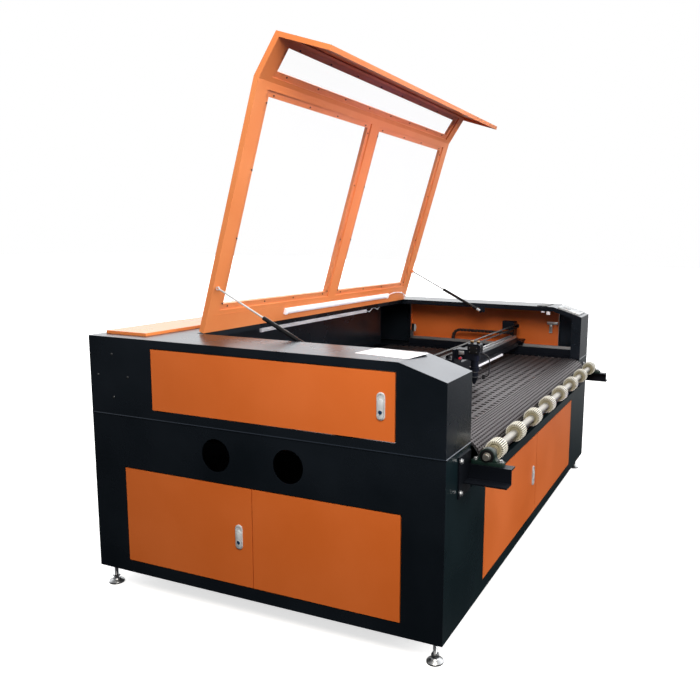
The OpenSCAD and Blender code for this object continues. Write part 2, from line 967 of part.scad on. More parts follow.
// Bearing housings on the bracket arms
module pillow_blocks() {
    color([0.13, 0.27, 0.22])
        at_cabinet()
            both_sides()
                difference() {
                    union() {
                        translate([block_x - block_w / 2, -roller_out - block_len / 2, bracket_top])
                            cube([block_w, block_len, block_base]);
                        translate([block_x, -roller_out, shaft_z])
                            bar_x(block_r, block_body_w);
                        translate([block_x - block_body_w / 2, -roller_out - block_r, bracket_top])
                            cube([block_body_w, 2 * block_r, block_rise]);
                    }
                    translate([block_x, -roller_out, shaft_z])
                        bar_x(shaft_r + pin_clear, block_w + 2 * overrun);
                    for (side = [-1, 1])
                        translate([block_x, -roller_out + side * block_bolt / 2, bracket_top - overrun])
                            cylinder(r = block_bolt_r, h = block_base + 2 * overrun);
                }
}

module feed_shaft() {
    color(bright_steel)
        at_cabinet()
            translate([0, -roller_out, shaft_z])
                bar_x(shaft_r, 2 * (block_x + block_w / 2 + shaft_over));
}

// Toothed feed wheels in a row along the shaft
module feed_wheel() {
    tooth_w = tooth_share * 2 * PI * wheel_r / wheel_teeth;
    difference() {
        rotate([0, 90, 0])
            linear_extrude(wheel_w, center = true)
                difference() {
                    union() {
                        circle(r = wheel_r - tooth_h);
                        for (i = [0 : wheel_teeth - 1])
                            rotate([0, 0, i * 360 / wheel_teeth])
                                translate([wheel_r - 2 * tooth_h, -tooth_w / 2])
                                    square([2 * tooth_h, tooth_w]);
                    }
                    circle(r = shaft_r + pin_clear);
                }
        for (side = [-1, 1])
            translate([side * (wheel_w - wheel_recess + overrun) / 2, 0, 0])
                difference() {
                    bar_x(wheel_r - wheel_rim, wheel_recess + overrun);
                    bar_x(wheel_hub_r, wheel_recess + 2 * overrun);
                }
    }
}

module feed_wheels() {
    color(cream_nylon)
        at_cabinet()
            for (i = [0 : wheel_count - 1])
                translate([-belt_half + wheel_first + i * wheel_pitch, -roller_out, shaft_z])
                    feed_wheel();
}

module rail_beams() {
    color(black_paint)
        at_cabinet()
            both_sides()
                translate([rail_x - rail_beam_w / 2, rail_front, split_h])
                    cube([rail_beam_w, hinge_y - rail_front - rail_rear, rail_beam_h]);
}

module y_rails() {
    color(bright_steel)
        at_cabinet()
            both_sides()
                translate([rail_x - rail_w / 2, rail_front + rail_short, split_h + rail_beam_h])
                    cube([rail_w, hinge_y - rail_front - rail_rear - 2 * rail_short, rail_h]);
}

// Box extrusion with a groove along each face
module gantry_beam() {
    groove = beam_s / 2 - beam_slot_d / 2;
    color(black_paint)
        at_cabinet()
            translate([-beam_x, gantry_y + beam_s / 2, beam_z + beam_s / 2])
                rotate([90, 0, 90])
                    linear_extrude(2 * beam_x)
                        difference() {
                            square(beam_s, center = true);
                            square(beam_s - 2 * (beam_wall + beam_slot_d), center = true);
                            for (a = [0 : 90 : 270])
                                rotate([0, 0, a])
                                    translate([groove, 0])
                                        square([beam_slot_d, beam_slot_w], center = true);
                        }
}

// Sliders on the Y rails, with the plates that carry the beam
module gantry_end() {
    slider_y = gantry_y + beam_s / 2 - slider_len / 2;
    difference() {
        translate([rail_x - slider_w / 2, slider_y, rail_top - slider_drop])
            cube([slider_w, slider_len, slider_h]);
        translate([rail_x - rail_w / 2 - slide_gap, slider_y - overrun, rail_top - slider_drop - overrun])
            cube([rail_w + 2 * slide_gap, slider_len + 2 * overrun, slider_drop + overrun + slide_gap]);
    }
    translate([beam_x, slider_y, slider_top])
        cube([rail_x + end_plate_out - beam_x, slider_len, end_plate_t]);
    translate([beam_x, gantry_y, beam_z])
        cube([end_web, beam_s, slider_top + end_plate_t - beam_z]);
}

module gantry_ends() {
    plate_top = slider_top + end_plate_t;
    seat_y = belt_y + belt_w + 2 * motor_plate_t + slide_gap;
    color(black_paint)
        at_cabinet() {
            both_sides()
                gantry_end();
            translate([rail_x + end_plate_out - chain_w / 2, seat_y, plate_top])
                cube([chain_w / 2, gantry_y + beam_s / 2 + slider_len / 2 - seat_y,
                    chain_z + 2 * chain_r - chain_h / 2 - slide_gap - plate_top]);
            translate([idler_x - pulley_r, belt_y + belt_w + motor_plate_t, plate_top])
                cube([2 * pulley_r, motor_plate_t, motor_z + pulley_r - plate_top]);
            translate([idler_x, belt_y - motor_plate_t / 2, motor_z])
                rotate([-90, 0, 0])
                    cylinder(r = pulley_r - x_belt_t - slide_gap, h = belt_w + 2 * motor_plate_t);
        }
}

module x_rails() {
    color(bright_steel)
        at_cabinet()
            for (y = [gantry_y + x_rail_in, gantry_y + beam_s - x_rail_in - x_rail_w])
                translate([-beam_x + x_rail_w, y, beam_top])
                    cube([2 * (beam_x - x_rail_w), x_rail_w, x_rail_h]);
}

// Stepper motor on its upright plate, with the belt pulley
module x_motor() {
    plate_y = belt_y + belt_w + motor_plate_t;
    plate_h = motor_z + motor_s / 2 - slider_top - end_plate_t;
    color(black_paint)
        at_cabinet() {
            translate([motor_x - motor_plate_w / 2, plate_y, slider_top + end_plate_t])
                cube([motor_plate_w, motor_plate_t, plate_h]);
            translate([motor_x, plate_y + motor_plate_t, motor_z])
                rotate([-90, 0, 0])
                    linear_extrude(motor_len)
                        round_rect(motor_s, motor_s, pulley_shaft_r);
            translate([motor_x, belt_y - motor_plate_t / 2, motor_z])
                rotate([-90, 0, 0]) {
                    cylinder(r = pulley_r - x_belt_t - slide_gap, h = belt_w + motor_plate_t);
                    cylinder(r = pulley_shaft_r, h = belt_w + 2 * motor_plate_t);
                }
        }
}

module x_belt_outline(r) {
    for (x = [idler_x, motor_x])
        translate([x, motor_z])
            circle(r = r);
    translate([idler_x, motor_z - r])
        square([motor_x - idler_x, 2 * r]);
}

module x_belt() {
    color([0.10, 0.10, 0.10])
        at_cabinet()
            translate([0, belt_y + belt_w, 0])
                rotate([90, 0, 0])
                    linear_extrude(belt_w)
                        difference() {
                            x_belt_outline(pulley_r);
                            x_belt_outline(pulley_r - x_belt_t);
                        }
}

module gantry_lamp() {
    color(lamp_white)
        at_cabinet()
            translate([head_x + lamp_from, gantry_y - lamp_h, beam_z - lamp_drop])
                cube([lamp_len, lamp_h, lamp_w]);
}

// Carriage on the X rails: slider block, top plate, front plate and belt clamp
module carriage() {
    block_z = beam_top + car_drop;
    color(black_paint)
        at_cabinet()
            translate([head_x - car_w / 2, 0, 0]) {
                difference() {
                    translate([0, gantry_y, block_z])
                        cube([car_w, beam_s, car_block_h]);
                    for (y = [gantry_y + x_rail_in, gantry_y + beam_s - x_rail_in - x_rail_w])
                        translate([-overrun, y - slide_gap, block_z - overrun])
                            cube([car_w + 2 * overrun, x_rail_w + 2 * slide_gap,
                                x_rail_h - car_drop + overrun + slide_gap]);
                }
                translate([0, car_front, block_z + car_block_h])
                    cube([car_w, beam_s + car_out, car_top_t]);
                translate([0, car_front, beam_z])
                    cube([car_w, car_plate_t, head_z + head_arm_h / 2 - beam_z]);
                translate([car_w / 2 - clamp_w / 2, belt_y, block_z + car_block_h])
                    cube([clamp_w, belt_w, motor_z - pulley_r - slide_gap - block_z - car_block_h]);
            }
}

// Head: mirror block with a cut corner, arm to the carriage, sleeve and two thumbscrews
module head_block() {
    block = [[0, 0], [head_w, 0], [head_w, head_h], [head_cut, head_h], [0, head_h - head_cut]];
    color(black_paint)
        at_cabinet() {
            difference() {
                union() {
                    translate([head_x - head_w / 2, head_y - head_w / 2, head_z])
                        rotate([90, 0, 90])
                            linear_extrude(head_w)
                                polygon(block);
                    translate([head_x - head_w / 2, head_y + head_w / 2, head_z - head_arm_h / 2])
                        cube([head_w, head_out - head_w / 2, head_arm_h]);
                    translate([head_x - head_w / 2, head_y, head_z - head_arm_h / 2])
                        cube([head_w, head_w / 2, head_arm_h / 2]);
                    translate([head_x, head_y, head_z - sleeve_h])
                        cylinder(r = sleeve_r, h = sleeve_h + lens_in);
                }
                translate([head_x, head_y, head_z - head_arm_h])
                    cylinder(r = lens_r + pin_clear, h = head_arm_h + lens_in + focus_travel + overrun);
            }
            for (side = [-1, 1])
                translate([head_x, head_y + side * knob_place_share * head_w, head_z + head_h])
                    cylinder(r = knob_r, h = knob_h);
        }
}

// Lens tube with its focus collar and conical nozzle
module lens_tube() {
    top = head_z + lens_in - nozzle_z;
    color(black_paint)
        at_cabinet()
            translate([head_x, head_y, nozzle_z])
                rotate_extrude()
                    polygon([[nozzle_bore_r, 0], [nozzle_r, 0], [lens_r, nozzle_h],
                        [lens_r, collar_up - collar_h / 2], [collar_r, collar_up - collar_h / 2],
                        [collar_r, collar_up + collar_h / 2], [lens_r, collar_up + collar_h / 2],
                        [lens_r, top], [lens_r - lens_wall, top], [lens_r - lens_wall, nozzle_h]]);
}

// Quarter bend of the arm, from straight ahead to straight down
module arm_bend(r) {
    rotate([90, 0, -90])
        rotate_extrude(angle = 90)
            translate([r, 0])
                circle(r = arm_r);
}

// Thin arm bent forwards, down and back, with a small pointer at its tip
module pointer_arm() {
    color(black_paint)
        at_cabinet()
            translate([head_x, head_y - head_w / 2 - arm_len, head_z + arm_up]) {
                rotate([-90, 0, 0])
                    cylinder(r = arm_r, h = arm_len);
                translate([0, 0, -arm_bend_r])
                    arm_bend(arm_bend_r);
                translate([0, -arm_bend_r, -arm_bend_r - arm_fall])
                    cylinder(r = arm_r, h = arm_fall);
                translate([0, arm_hook_r - arm_bend_r, -arm_bend_r - arm_fall]) {
                    rotate([90, 0, 0])
                        arm_bend(arm_hook_r);
                    translate([0, arm_tip_r - arm_r, -arm_hook_r - arm_tip_h / 2])
                        cylinder(r = arm_tip_r, h = arm_tip_h);
                }
            }
}

// Drag chain in side view: a lower run, a half-turn and an upper run, notched between its links
module chain_side(low_len, high_len) {
    outer_r = chain_r + chain_h / 2;
    inner_r = chain_r - chain_h / 2;
    notch = (chain_h - chain_core) / 2 + overrun;
    turn_links = round(PI * chain_r / chain_link);
    turn_step = 180 / turn_links;
    difference() {
        union() {
            circle(r = outer_r);
            translate([-high_len, -outer_r])
                square([high_len, 2 * outer_r]);
        }
        circle(r = inner_r);
        translate([-high_len - overrun, -inner_r])
            square([high_len + overrun, 2 * inner_r]);
        translate([-high_len - overrun, -outer_r - overrun])
            square([high_len + overrun - low_len, outer_r + overrun]);
        for (r = [inner_r - overrun, chain_r + chain_core / 2]) {
            for (i = [0 : turn_links - 1])
                rotate(i * turn_step + turn_step / 2 - 90)
                    translate([r, -chain_link_gap / 2])
                        square([notch, chain_link_gap]);
            for (side = [-1, 1], y = [chain_link / 2 : chain_link : high_len])
                translate([-y - chain_link_gap / 2, side * (r + notch / 2) - notch / 2])
                    square([chain_link_gap, notch]);
        }
    }
}

module drag_chain() {
    high_len = chain_link * ceil((chain_bend - chain_end) / chain_link);
    low_len = chain_link * floor((chain_bend - chain_root) / chain_link);
    color(black_paint)
        at_cabinet()
            translate([chain_x - chain_w / 2, chain_bend, chain_z + chain_r])
                rotate([90, 0, 90])
                    linear_extrude(chain_w)
                        chain_side(low_len, high_len);
}

// Glass tube with metal end caps and an inner core
module laser_tube() {
    color([0.80, 0.85, 0.88])
        at_cabinet()
            translate([0, tube_y, tube_z]) {
                bar_x(tube_r - sheet_t, tube_len);
                both_sides()
                    translate([tube_len / 2 - tube_cap / 2, 0, 0])
                        bar_x(tube_r, tube_cap);
            }
}

// Ring supports of the tube and the corner mirror on the right rail beam
module optics_mounts() {
    foot_z = split_h + sheet_t;
    mirror_y = hinge_y - rail_rear - rail_short;
    color(bright_steel)
        at_cabinet() {
            for (s = support_shares)
                translate([s * tube_len, tube_y, 0])
                    difference() {
                        union() {
                            translate([-support_w / 2, -support_foot / 2, foot_z])
                                cube([support_w, support_foot, tube_z - foot_z]);
                            translate([0, 0, tube_z])
                                bar_x(support_foot / 2, support_w);
                        }
                        translate([0, 0, tube_z])
                            bar_x(tube_r - sheet_t + slide_gap, support_w + 2 * overrun);
                    }
            translate([rail_x - mirror_post / 2, mirror_y + slide_gap, split_h + rail_beam_h]) {
                cube([mirror_post, rail_short - slide_gap, mirror_s]);
                translate([mirror_post / 2, 0, mirror_s])
                    rotate([0, 0, 45]) {
                        translate([-mirror_s / 2, -mirror_t / 2, 0])
                            cube([mirror_s, mirror_t, mirror_s]);
                        translate([0, -mirror_t, mirror_s / 2])
                            rotate([-90, 0, 0])
                                cylinder(r = mirror_r, h = mirror_t);
                    }
            }
        }
}

// Framed panel on the right slope
module control_panel() {
    color([0.72, 0.73, 0.74])
        at_cabinet()
            translate([half_w - deck_w / 2, 0, front_top])
                rotate([slope_a, 0, 0])
                    translate([-panel_w / 2, (slope_len - panel_len) / 2, 0])
                        difference() {
                            cube([panel_w, panel_len, panel_t]);
                            translate([panel_frame, panel_frame, panel_t - panel_sunk])
                                cube([panel_w - 2 * panel_frame, panel_len - 2 * panel_frame, panel_t]);
                        }
}

// Lamp bar: half-round diffuser on a flat channel
module lamp_bar() {
    channel = lamp_bar_h - lamp_bar_w / 4;
    cube([lamp_bar_len, lamp_bar_w, channel]);
    translate([0, lamp_bar_w / 4, 0])
        cube([lamp_bar_len, lamp_bar_w / 2, lamp_bar_h]);
}

// Lamp on the inner rear wall, with its lead along the shelf to the right corner
module rear_lamp() {
    end_x = rear_lamp_shift + lamp_bar_len / 2;
    lead_y = wall_y - lead_r - slide_gap;
    lead_z = rear_lamp_z + lamp_bar_w / 2;
    run = inner_x - end_x;
    color(lamp_white)
        at_cabinet() {
            translate([rear_lamp_shift - lamp_bar_len / 2, wall_y, rear_lamp_z])
                rotate([90, 0, 0])
                    lamp_bar();
            cord([for (s = rear_lead_shares)
                [end_x + s[0] * run, lead_y, lead_z + s[1] * lamp_bar_h]], lead_r);
        }
}

// Frame of the lid: closed place turned about the hinge to the open angle
module at_lid() {
    at_cabinet()
        translate([0, hinge_y, hinge_z])
            rotate([-lid_open, 0, 0])
                translate([0, 0, -hinge_up])
                    children();
}

// Points of the lid's side view at a depth below its outer face
function lid_line(d, cut) = let (end = slope_len - cut)
    [[-lid_end - cut, -d], [-lid_main + d * tan(slope_a / 2), -d],
    [-lid_main - end * cos(slope_a) + d * sin(slope_a), -end * sin(slope_a) - d * cos(slope_a)]];

module lid_layer(d0, d1, cut) {
    near = lid_line(d0, cut);
    far = lid_line(d1, cut);
    translate([-lid_half + cut, 0, 0])
        rotate([90, 0, 90])
            linear_extrude(2 * (lid_half - cut))
                polygon([near[0], near[1], near[2], far[2], far[1], far[0]]);
}

// Block through a window of the main part or of the sloped part
module main_window(x, grow, d0, d1) {
    translate([x - window_w / 2 - grow, -window_low - window_h - grow, -d1])
        cube([window_w + 2 * grow, window_h + 2 * grow, d1 - d0]);
}

module slope_window(grow, d0, d1) {
    translate([0, -lid_main, 0])
        rotate([slope_a, 0, 0])
            translate([-lid_half + border_w - grow, -slot_window_low - slot_window_h - grow, -d1])
                cube([2 * (lid_half - border_w + grow), slot_window_h + 2 * grow, d1 - d0]);
}

module windows(grow, d0, d1) {
    for (side = [-1, 1])
        main_window(side * (window_w + mullion_w) / 2, grow, d0, d1);
    slope_window(grow, d0, d1);
}

// Folded lip across the front end of the lid
module lid_lip_sheet() {
    edge = lid_line(0, 0)[2];
    translate([-lid_half, edge[0], edge[1] - lid_lip])
        difference() {
            cube([2 * lid_half, lip_fold, lid_lip]);
            translate([sheet_t, sheet_t, sheet_t])
                cube([2 * (lid_half - sheet_t), lip_fold, lid_lip]);
        }
}

// Ear on the lid that carries the rod end of a gas strut
module lid_ear() {
    eye_in = strut_x - eye_w / 2 - slide_gap - ear_t;
    translate([eye_in, -strut_s - eye_r, -strut_n + hinge_up - eye_r])
        cube([ear_t, 2 * eye_r, strut_n - hinge_up - lid_t + eye_r]);
    translate([eye_in, -strut_s, -strut_n + hinge_up])
        rotate([0, 90, 0])
            cylinder(r = eye_bore_r - slide_gap, h = ear_t + eye_w + slide_gap);
}

// Box-section lid of folded sheet with three window openings and ledges for the panes
module lid_frame() {
    color(orange_paint)
        at_lid() {
            difference() {
                lid_layer(0, lid_t, 0);
                windows(0, -overrun, lid_t + overrun);
                windows(ledge_w, lid_t - ledge_d, lid_t + overrun);
                difference() {
                    lid_layer(sheet_t, lid_t - sheet_t, sheet_t);
                    windows(sheet_t, 0, lid_t);
                    windows(ledge_w + sheet_t, lid_t - ledge_d - sheet_t, lid_t);
                }
                both_sides()
                    translate([lid_half / 2, -lid_end - 2 * sheet_t, -lid_t / 2])
                        rotate([-90, 0, 0])
                            cylinder(r = drain_r, h = 4 * sheet_t);
            }
            lid_lip_sheet();
            both_sides()
                lid_ear();
            translate([0, 0, hinge_up])
                knuckles(hinge_shares, false);
            for (s = hinge_shares)
                translate([s * lid_half - knuckle_len / 2, -hinge_leaf, 0])
                    cube([knuckle_len, hinge_leaf, sheet_t]);
        }
}

// Clear sheets seated on the ledges
module lid_windows() {
    color([0.85, 0.92, 0.95, 0.35])
        at_lid()
            windows(ledge_w - 2 * slide_gap, lid_t - ledge_d, lid_t - ledge_d + pane_t);
}

// Lamp under the lid near the hinge, with its lead along the lid to the right corner
module lid_lamp() {
    end_x = lid_lamp_shift + lamp_bar_len / 2;
    run = lid_half - end_x;
    lead_z = -lid_t - lead_r - slide_gap;
    mid_y = -lid_lamp_s;
    color(lamp_white)
        at_lid() {
            translate([lid_lamp_shift - lamp_bar_len / 2, -lid_lamp_s + lamp_bar_w / 2, -lid_t])
                rotate([180, 0, 0])
                    lamp_bar();
            cord([for (s = lid_lead_shares)
                [end_x + s[0] * run, mid_y + s[1] * lamp_bar_h, lead_z]], lead_r);
        }
}

// Frame of a strut: x across, y from the lid end towards the cabinet end
module at_strut(side) {
    at_cabinet()
        translate([side * strut_x, strut_up[0], strut_up[1]])
            rotate([strut_a, 0, 0])
                children();
}

// Rod with its eye on the lid and its piston inside the cylinder
module strut_rod(side) {
    color(bright_steel)
        at_strut(side) {
            difference() {
                union() {
                    bar_x(eye_r, eye_w);
                    rotate([-90, 0, 0])
                        cylinder(r = rod_r, h = rod_show + rod_in);
                }
                bar_x(eye_bore_r, eye_w + 2 * overrun);
            }
            translate([0, rod_show + rod_in, 0])
                rotate([-90, 0, 0])
                    cylinder(r = cyl_bore_r - slide_gap, h = piston_len);
        }
}

// Cylinder with its gland, closed end, nut and eye
module strut_cylinder(side) {
    color([0.06, 0.06, 0.07])
        at_strut(side) {
            difference() {
                translate([0, rod_show, 0])
                    rotate([-90, 0, 0])
                        rotate_extrude()
                            polygon([[rod_r + pin_clear, 0], [cyl_r, 0], [cyl_r, cyl_len],
                                [rod_r, cyl_len], [rod_r, strut_len - rod_show], [0, strut_len - rod_show],
                                [0, cyl_len - gland_len], [cyl_bore_r, cyl_len - gland_len],
                                [cyl_bore_r, gland_len], [rod_r + pin_clear, gland_len]]);
                translate([0, strut_len, 0])
                    bar_x(eye_r, 2 * cyl_r);
            }
            translate([0, strut_len, 0])
                bar_x(eye_r, 2 * (cyl_r + slide_gap));
            translate([0, rod_show + cyl_len, 0])
                rotate([-90, 0, 0])
                    cylinder(r = cyl_bore_r, h = nut_len, $fn = 6);
        }
}

module strut_rod_right() {
    strut_rod(1);
}

module strut_rod_left() {
    strut_rod(-1);
}

module strut_cylinder_right() {
    strut_cylinder(1);
}

module strut_cylinder_left() {
    strut_cylinder(-1);
}

// Doors in the frame of their panel
module upper_door() {
    translate([up_door_front, 0, up_door_z])
        pan_door(up_door_w, up_door_h, up_door_w - pin_in)
            lock_window(lock_edge, up_door_h / 2);
}

module lower_front_leaf() {
    translate([low_door_margin, 0, low_door_z])
        pan_door(low_door_w, low_door_h, pin_in);
}

module lower_rear_leaf() {
    translate([low_rear_y, 0, low_door_z])
        pan_door(low_door_w, low_door_h, low_door_w - pin_in)
            lock_window(low_lock_edge, lock_low_z - low_door_z);
}

module left_upper_door() {
    at_cabinet()
        on_left()
            upper_door();
}

module right_upper_door() {
    at_cabinet()
        on_right()
            upper_door();
}

module left_lower_front_door() {
    at_cabinet()
        on_left()
            lower_front_leaf();
}

module left_lower_rear_door() {
    at_cabinet()
        on_left()
            lower_rear_leaf();
}

module right_lower_front_door() {
    at_cabinet()
        on_right()
            lower_front_leaf();
}

module right_lower_rear_door() {
    at_cabinet()
        on_right()
            lower_rear_leaf();
}

module front_left_door() {
    at_cabinet()
        translate([-half_w + front_door_margin, 0, low_door_z])
            pan_door(front_door_w, low_door_h, pin_in)
                lock_window(front_door_w - low_lock_edge, lock_low_z - low_door_z);
}

module front_right_door() {
    at_cabinet()
        translate([half_w - front_door_margin - front_door_w, 0, low_door_z])
            pan_door(front_door_w, low_door_h, front_door_w - pin_in);
}

// Places of the locks in the frame of their panel
module at_upper_lock() {
    translate([up_door_front + lock_edge, 0, up_door_z + up_door_h / 2])
        children();
}

module at_lower_lock() {
    translate([low_rear_y + low_lock_edge, 0, lock_low_z])
        children();
}

module at_front_lock() {
    translate([-half_w + front_door_margin + front_door_w - low_lock_edge, 0, lock_low_z])
        children();
}

module left_upper_lock() {
    at_cabinet()
        on_left()
            at_upper_lock()
                lock_case();
}

module left_lower_lock() {
    at_cabinet()
        on_left()
            at_lower_lock()
                lock_case();
}

module right_upper_lock() {
    at_cabinet()
        on_right()
            at_upper_lock()
                lock_case();
}

module right_lower_lock() {
    at_cabinet()
        on_right()
            at_lower_lock()
                lock_case();
}

module front_lock() {
    at_cabinet()
        at_front_lock()
            lock_case();
}

module left_upper_handle() {
    at_cabinet()
        on_left()
            at_upper_lock()
                lock_lever();
}

module left_lower_handle() {
    at_cabinet()
        on_left()
            at_lower_lock()
                lock_lever();
}

module right_upper_handle() {
    at_cabinet()
        on_right()
            at_upper_lock()
                lock_lever();
}

module right_lower_handle() {
    at_cabinet()
        on_right()
            at_lower_lock()
                lock_lever();
}

module front_handle() {
    at_cabinet()
        at_front_lock()
            lock_lever();
}

// Folded cover over the tube compartment
module rear_cover() {
    width = cab_w - 2 * cover_in;
    depth = rear_box_d + cover_front - cover_rear;
    bore_r = hinge_pin_r + pin_clear;
    color(orange_paint)
        at_cabinet() {
            translate([-width / 2, wall_y - cover_front, cab_h])
                difference() {
                    cube([width, depth, cover_fold]);
                    translate([sheet_t, sheet_t, -overrun])
                        cube([width - 2 * sheet_t, depth - 2 * sheet_t, cover_fold - sheet_t + overrun]);
                }
            translate([0, cab_d - cover_rear + cover_back, hinge_z])
                knuckles(cover_shares, false);
            for (s = cover_shares)
                translate([s * lid_half - knuckle_len / 2, cab_d - cover_rear, hinge_z + bore_r])
                    cube([knuckle_len, cover_back, knuckle_r - bore_r]);
        }
}

floor_pan();
inner_frame();
lower_left_panel();
lower_right_panel();
lower_front_panel();
lower_rear_panel();
upper_left_wall();
upper_right_wall();
rear_housing();
levelling_feet();
bed_frame();
conveyor_belt();
rear_drum();
roller_brackets();
pillow_blocks();
feed_shaft();
feed_wheels();
rail_beams();
y_rails();
gantry_beam();
gantry_ends();
x_rails();
x_motor();
x_belt();
gantry_lamp();
carriage();
head_block();
lens_tube();
pointer_arm();
drag_chain();
laser_tube();
optics_mounts();
control_panel();
rear_lamp();
lid_frame();
lid_windows();
lid_lamp();
strut_rod_left();
strut_cylinder_left();
strut_rod_right();
strut_cylinder_right();
left_upper_door();
right_upper_door();
left_lower_front_door();
left_lower_rear_door();
right_lower_front_door();
right_lower_rear_door();
front_left_door();
front_right_door();
rear_cover();
left_upper_lock();
left_lower_lock();
front_lock();
right_upper_lock();
right_lower_lock();
left_upper_handle();
left_lower_handle();
front_handle();
right_upper_handle();
right_lower_handle();
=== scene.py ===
import math

import bmesh
import bpy
from mathutils import Matrix, Vector


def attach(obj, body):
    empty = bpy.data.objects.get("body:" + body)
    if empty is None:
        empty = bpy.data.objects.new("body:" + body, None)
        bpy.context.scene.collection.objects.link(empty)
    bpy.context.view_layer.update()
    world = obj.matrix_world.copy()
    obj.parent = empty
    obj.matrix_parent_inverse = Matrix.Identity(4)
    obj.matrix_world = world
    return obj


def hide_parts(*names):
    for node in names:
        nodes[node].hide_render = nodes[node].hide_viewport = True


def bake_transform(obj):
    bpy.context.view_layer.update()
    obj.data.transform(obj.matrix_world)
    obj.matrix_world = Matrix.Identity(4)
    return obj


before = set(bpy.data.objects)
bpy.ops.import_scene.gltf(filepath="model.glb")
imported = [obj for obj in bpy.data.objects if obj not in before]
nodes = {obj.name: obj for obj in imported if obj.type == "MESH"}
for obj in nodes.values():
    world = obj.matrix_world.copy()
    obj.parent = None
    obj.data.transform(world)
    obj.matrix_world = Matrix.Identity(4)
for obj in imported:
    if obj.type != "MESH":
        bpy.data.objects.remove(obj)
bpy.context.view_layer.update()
scene = bpy.context.scene
print("frame loaded,", len(nodes), "nodes")


def hexColor(text):  # sRGB hex to linear RGBA
    parts = [int(text[i:i + 2], 16) / 255 for i in (1, 3, 5)]
    return [c / 12.92 if c <= 0.04045 else ((c + 0.055) / 1.055) ** 2.4 for c in parts] + [1.0]


# A node with its settings, values and links; a node given as a value stands for its first output
def addNode(tree, kind, inputs=None, **settings):
    node = tree.nodes.new(kind)
    for key, value in settings.items():
        setattr(node, key, value)
    for key, value in (inputs or {}).items():
        if isinstance(value, bpy.types.Node):
            value = value.outputs[0]
        if isinstance(value, bpy.types.NodeSocket):
            tree.links.new(value, node.inputs[key])
        else:
            node.inputs[key].default_value = value
    return node


def rampStops(ramp, stops):  # colour stops on a ramp, low to high
    elements = ramp.color_ramp.elements
    while len(elements) < len(stops):
        elements.new(0.5)
    for element, (place, color) in zip(elements, stops):
        element.position = place
        element.color = color


def addObject(name, data):  # a new object in the scene
    made = bpy.data.objects.new(name, data)
    scene.collection.objects.link(made)
    return made


def at(x, y, z):  # a shift as a matrix
    return Matrix.Translation((x, y, z))


def turned(degrees, axis):  # a turn about one axis as a matrix
    return Matrix.Rotation(math.radians(degrees), 4, axis)


# Camera, solved from the photo's straight edges
view = {"eye": (-3.4873, -1.5465, 1.5079), "right": (0.38212, -0.92396, 0.01684),
        "down": (-0.13526, -0.07395, -0.98805), "lens": 37.316, "sensor": 36, "shift": (-0.1137, 0.0007),
        "clipEnd": 200}
right, up = Vector(view["right"]).normalized(), -Vector(view["down"]).normalized()
camera = addObject("camera", bpy.data.cameras.new("camera"))
camera.matrix_world = at(*view["eye"]) @ Matrix((right, up, right.cross(up))).transposed().to_4x4()
camera.data.lens = view["lens"]
camera.data.sensor_width = view["sensor"]
camera.data.shift_x, camera.data.shift_y = view["shift"]
camera.data.clip_end = view["clipEnd"]
scene.camera = camera
scene.view_settings.view_transform = "Standard"

# Studio surround: bright and dark bands by height, dimmer on the camera's side; the camera itself sees white
surround = {"bands": ((0.10, 0.6), (0.25, 0.02), (0.36, 0.02), (0.41, 0.26), (0.485, 0.52), (0.58, 1.45),
                      (0.67, 3.2), (0.90, 1.4)), "dim": 0.16, "fade": 0.45}
world = bpy.data.worlds.new("studio")
world.use_nodes = True
scene.world = world
sky = world.node_tree
generated = addNode(sky, "ShaderNodeTexCoord").outputs["Generated"]
toward = addNode(sky, "ShaderNodeSeparateXYZ", {0: generated}).outputs
height = addNode(sky, "ShaderNodeMapRange", {"Value": toward["Z"], "From Min": -1.0, "From Max": 1.0})
band = addNode(sky, "ShaderNodeValToRGB", {"Fac": height})
rampStops(band, [(place, (level, level, level, 1)) for place, level in surround["bands"]])
side = addNode(sky, "ShaderNodeMapRange", {
    "Value": toward["X"], "From Min": -surround["fade"], "From Max": surround["fade"], "To Min": surround["dim"]})
glow = addNode(sky, "ShaderNodeMath", {0: band, 1: side}, operation="MULTIPLY")
seen = addNode(sky, "ShaderNodeLightPath")
power = addNode(sky, "ShaderNodeMix", {0: seen, 2: glow, 3: 1.0})
sky.nodes["Background"].inputs["Color"].default_value = hexColor("#ffffff")
sky.links.new(power.outputs[0], sky.nodes["Background"].inputs["Strength"])

lights = (  # name, place, target, size, watts, colour, spread in degrees
    ("keyLight", (-2.9, -1.3, 3.0), (-0.9, 0.1, 0.8), 1.8, 106.0, "#fff8ee", 180),
    ("frontLight", (-1.0, -5.5, 2.6), (0, 0.2, 1.3), 2.4, 78.0, "#fffaf4", 180),
    ("lidLight", (-0.8, -5.0, 1.6), (0.3, 0.4, 1.95), 1.2, 3.8, "#ffe9e4", 30),
    ("visorLight", (0.0, -1.9, 0.95), (0.1, 0.15, 2.2), 1.6, 3.2, "#9c90ff", 50))
for name, place, target, size, watts, color, spread in lights:
    light = addObject(name, bpy.data.lights.new(name, "AREA"))
    light.data.shape, light.data.size, light.data.energy = "DISK", size, watts
    light.data.color, light.data.spread = hexColor(color)[:3], math.radians(spread)
    light.location = place
    light.rotation_euler = (Vector(target) - Vector(place)).to_track_quat("-Z", "Y").to_euler()
bpy.data.objects["lidLight"].visible_glossy = False
bpy.data.objects["visorLight"].visible_camera = False

ground = {"half": 40, "z": -0.0005}
floorMesh = bpy.data.meshes.new("floor")
floorMesh.from_pydata([(x * ground["half"], y * ground["half"], ground["z"])
                       for x, y in ((-1, -1), (1, -1), (1, 1), (-1, 1))], [], [(0, 1, 2, 3)])
floor = addObject("floor", floorMesh)
floor.visible_diffuse = floor.visible_glossy = False
print("camera and light")


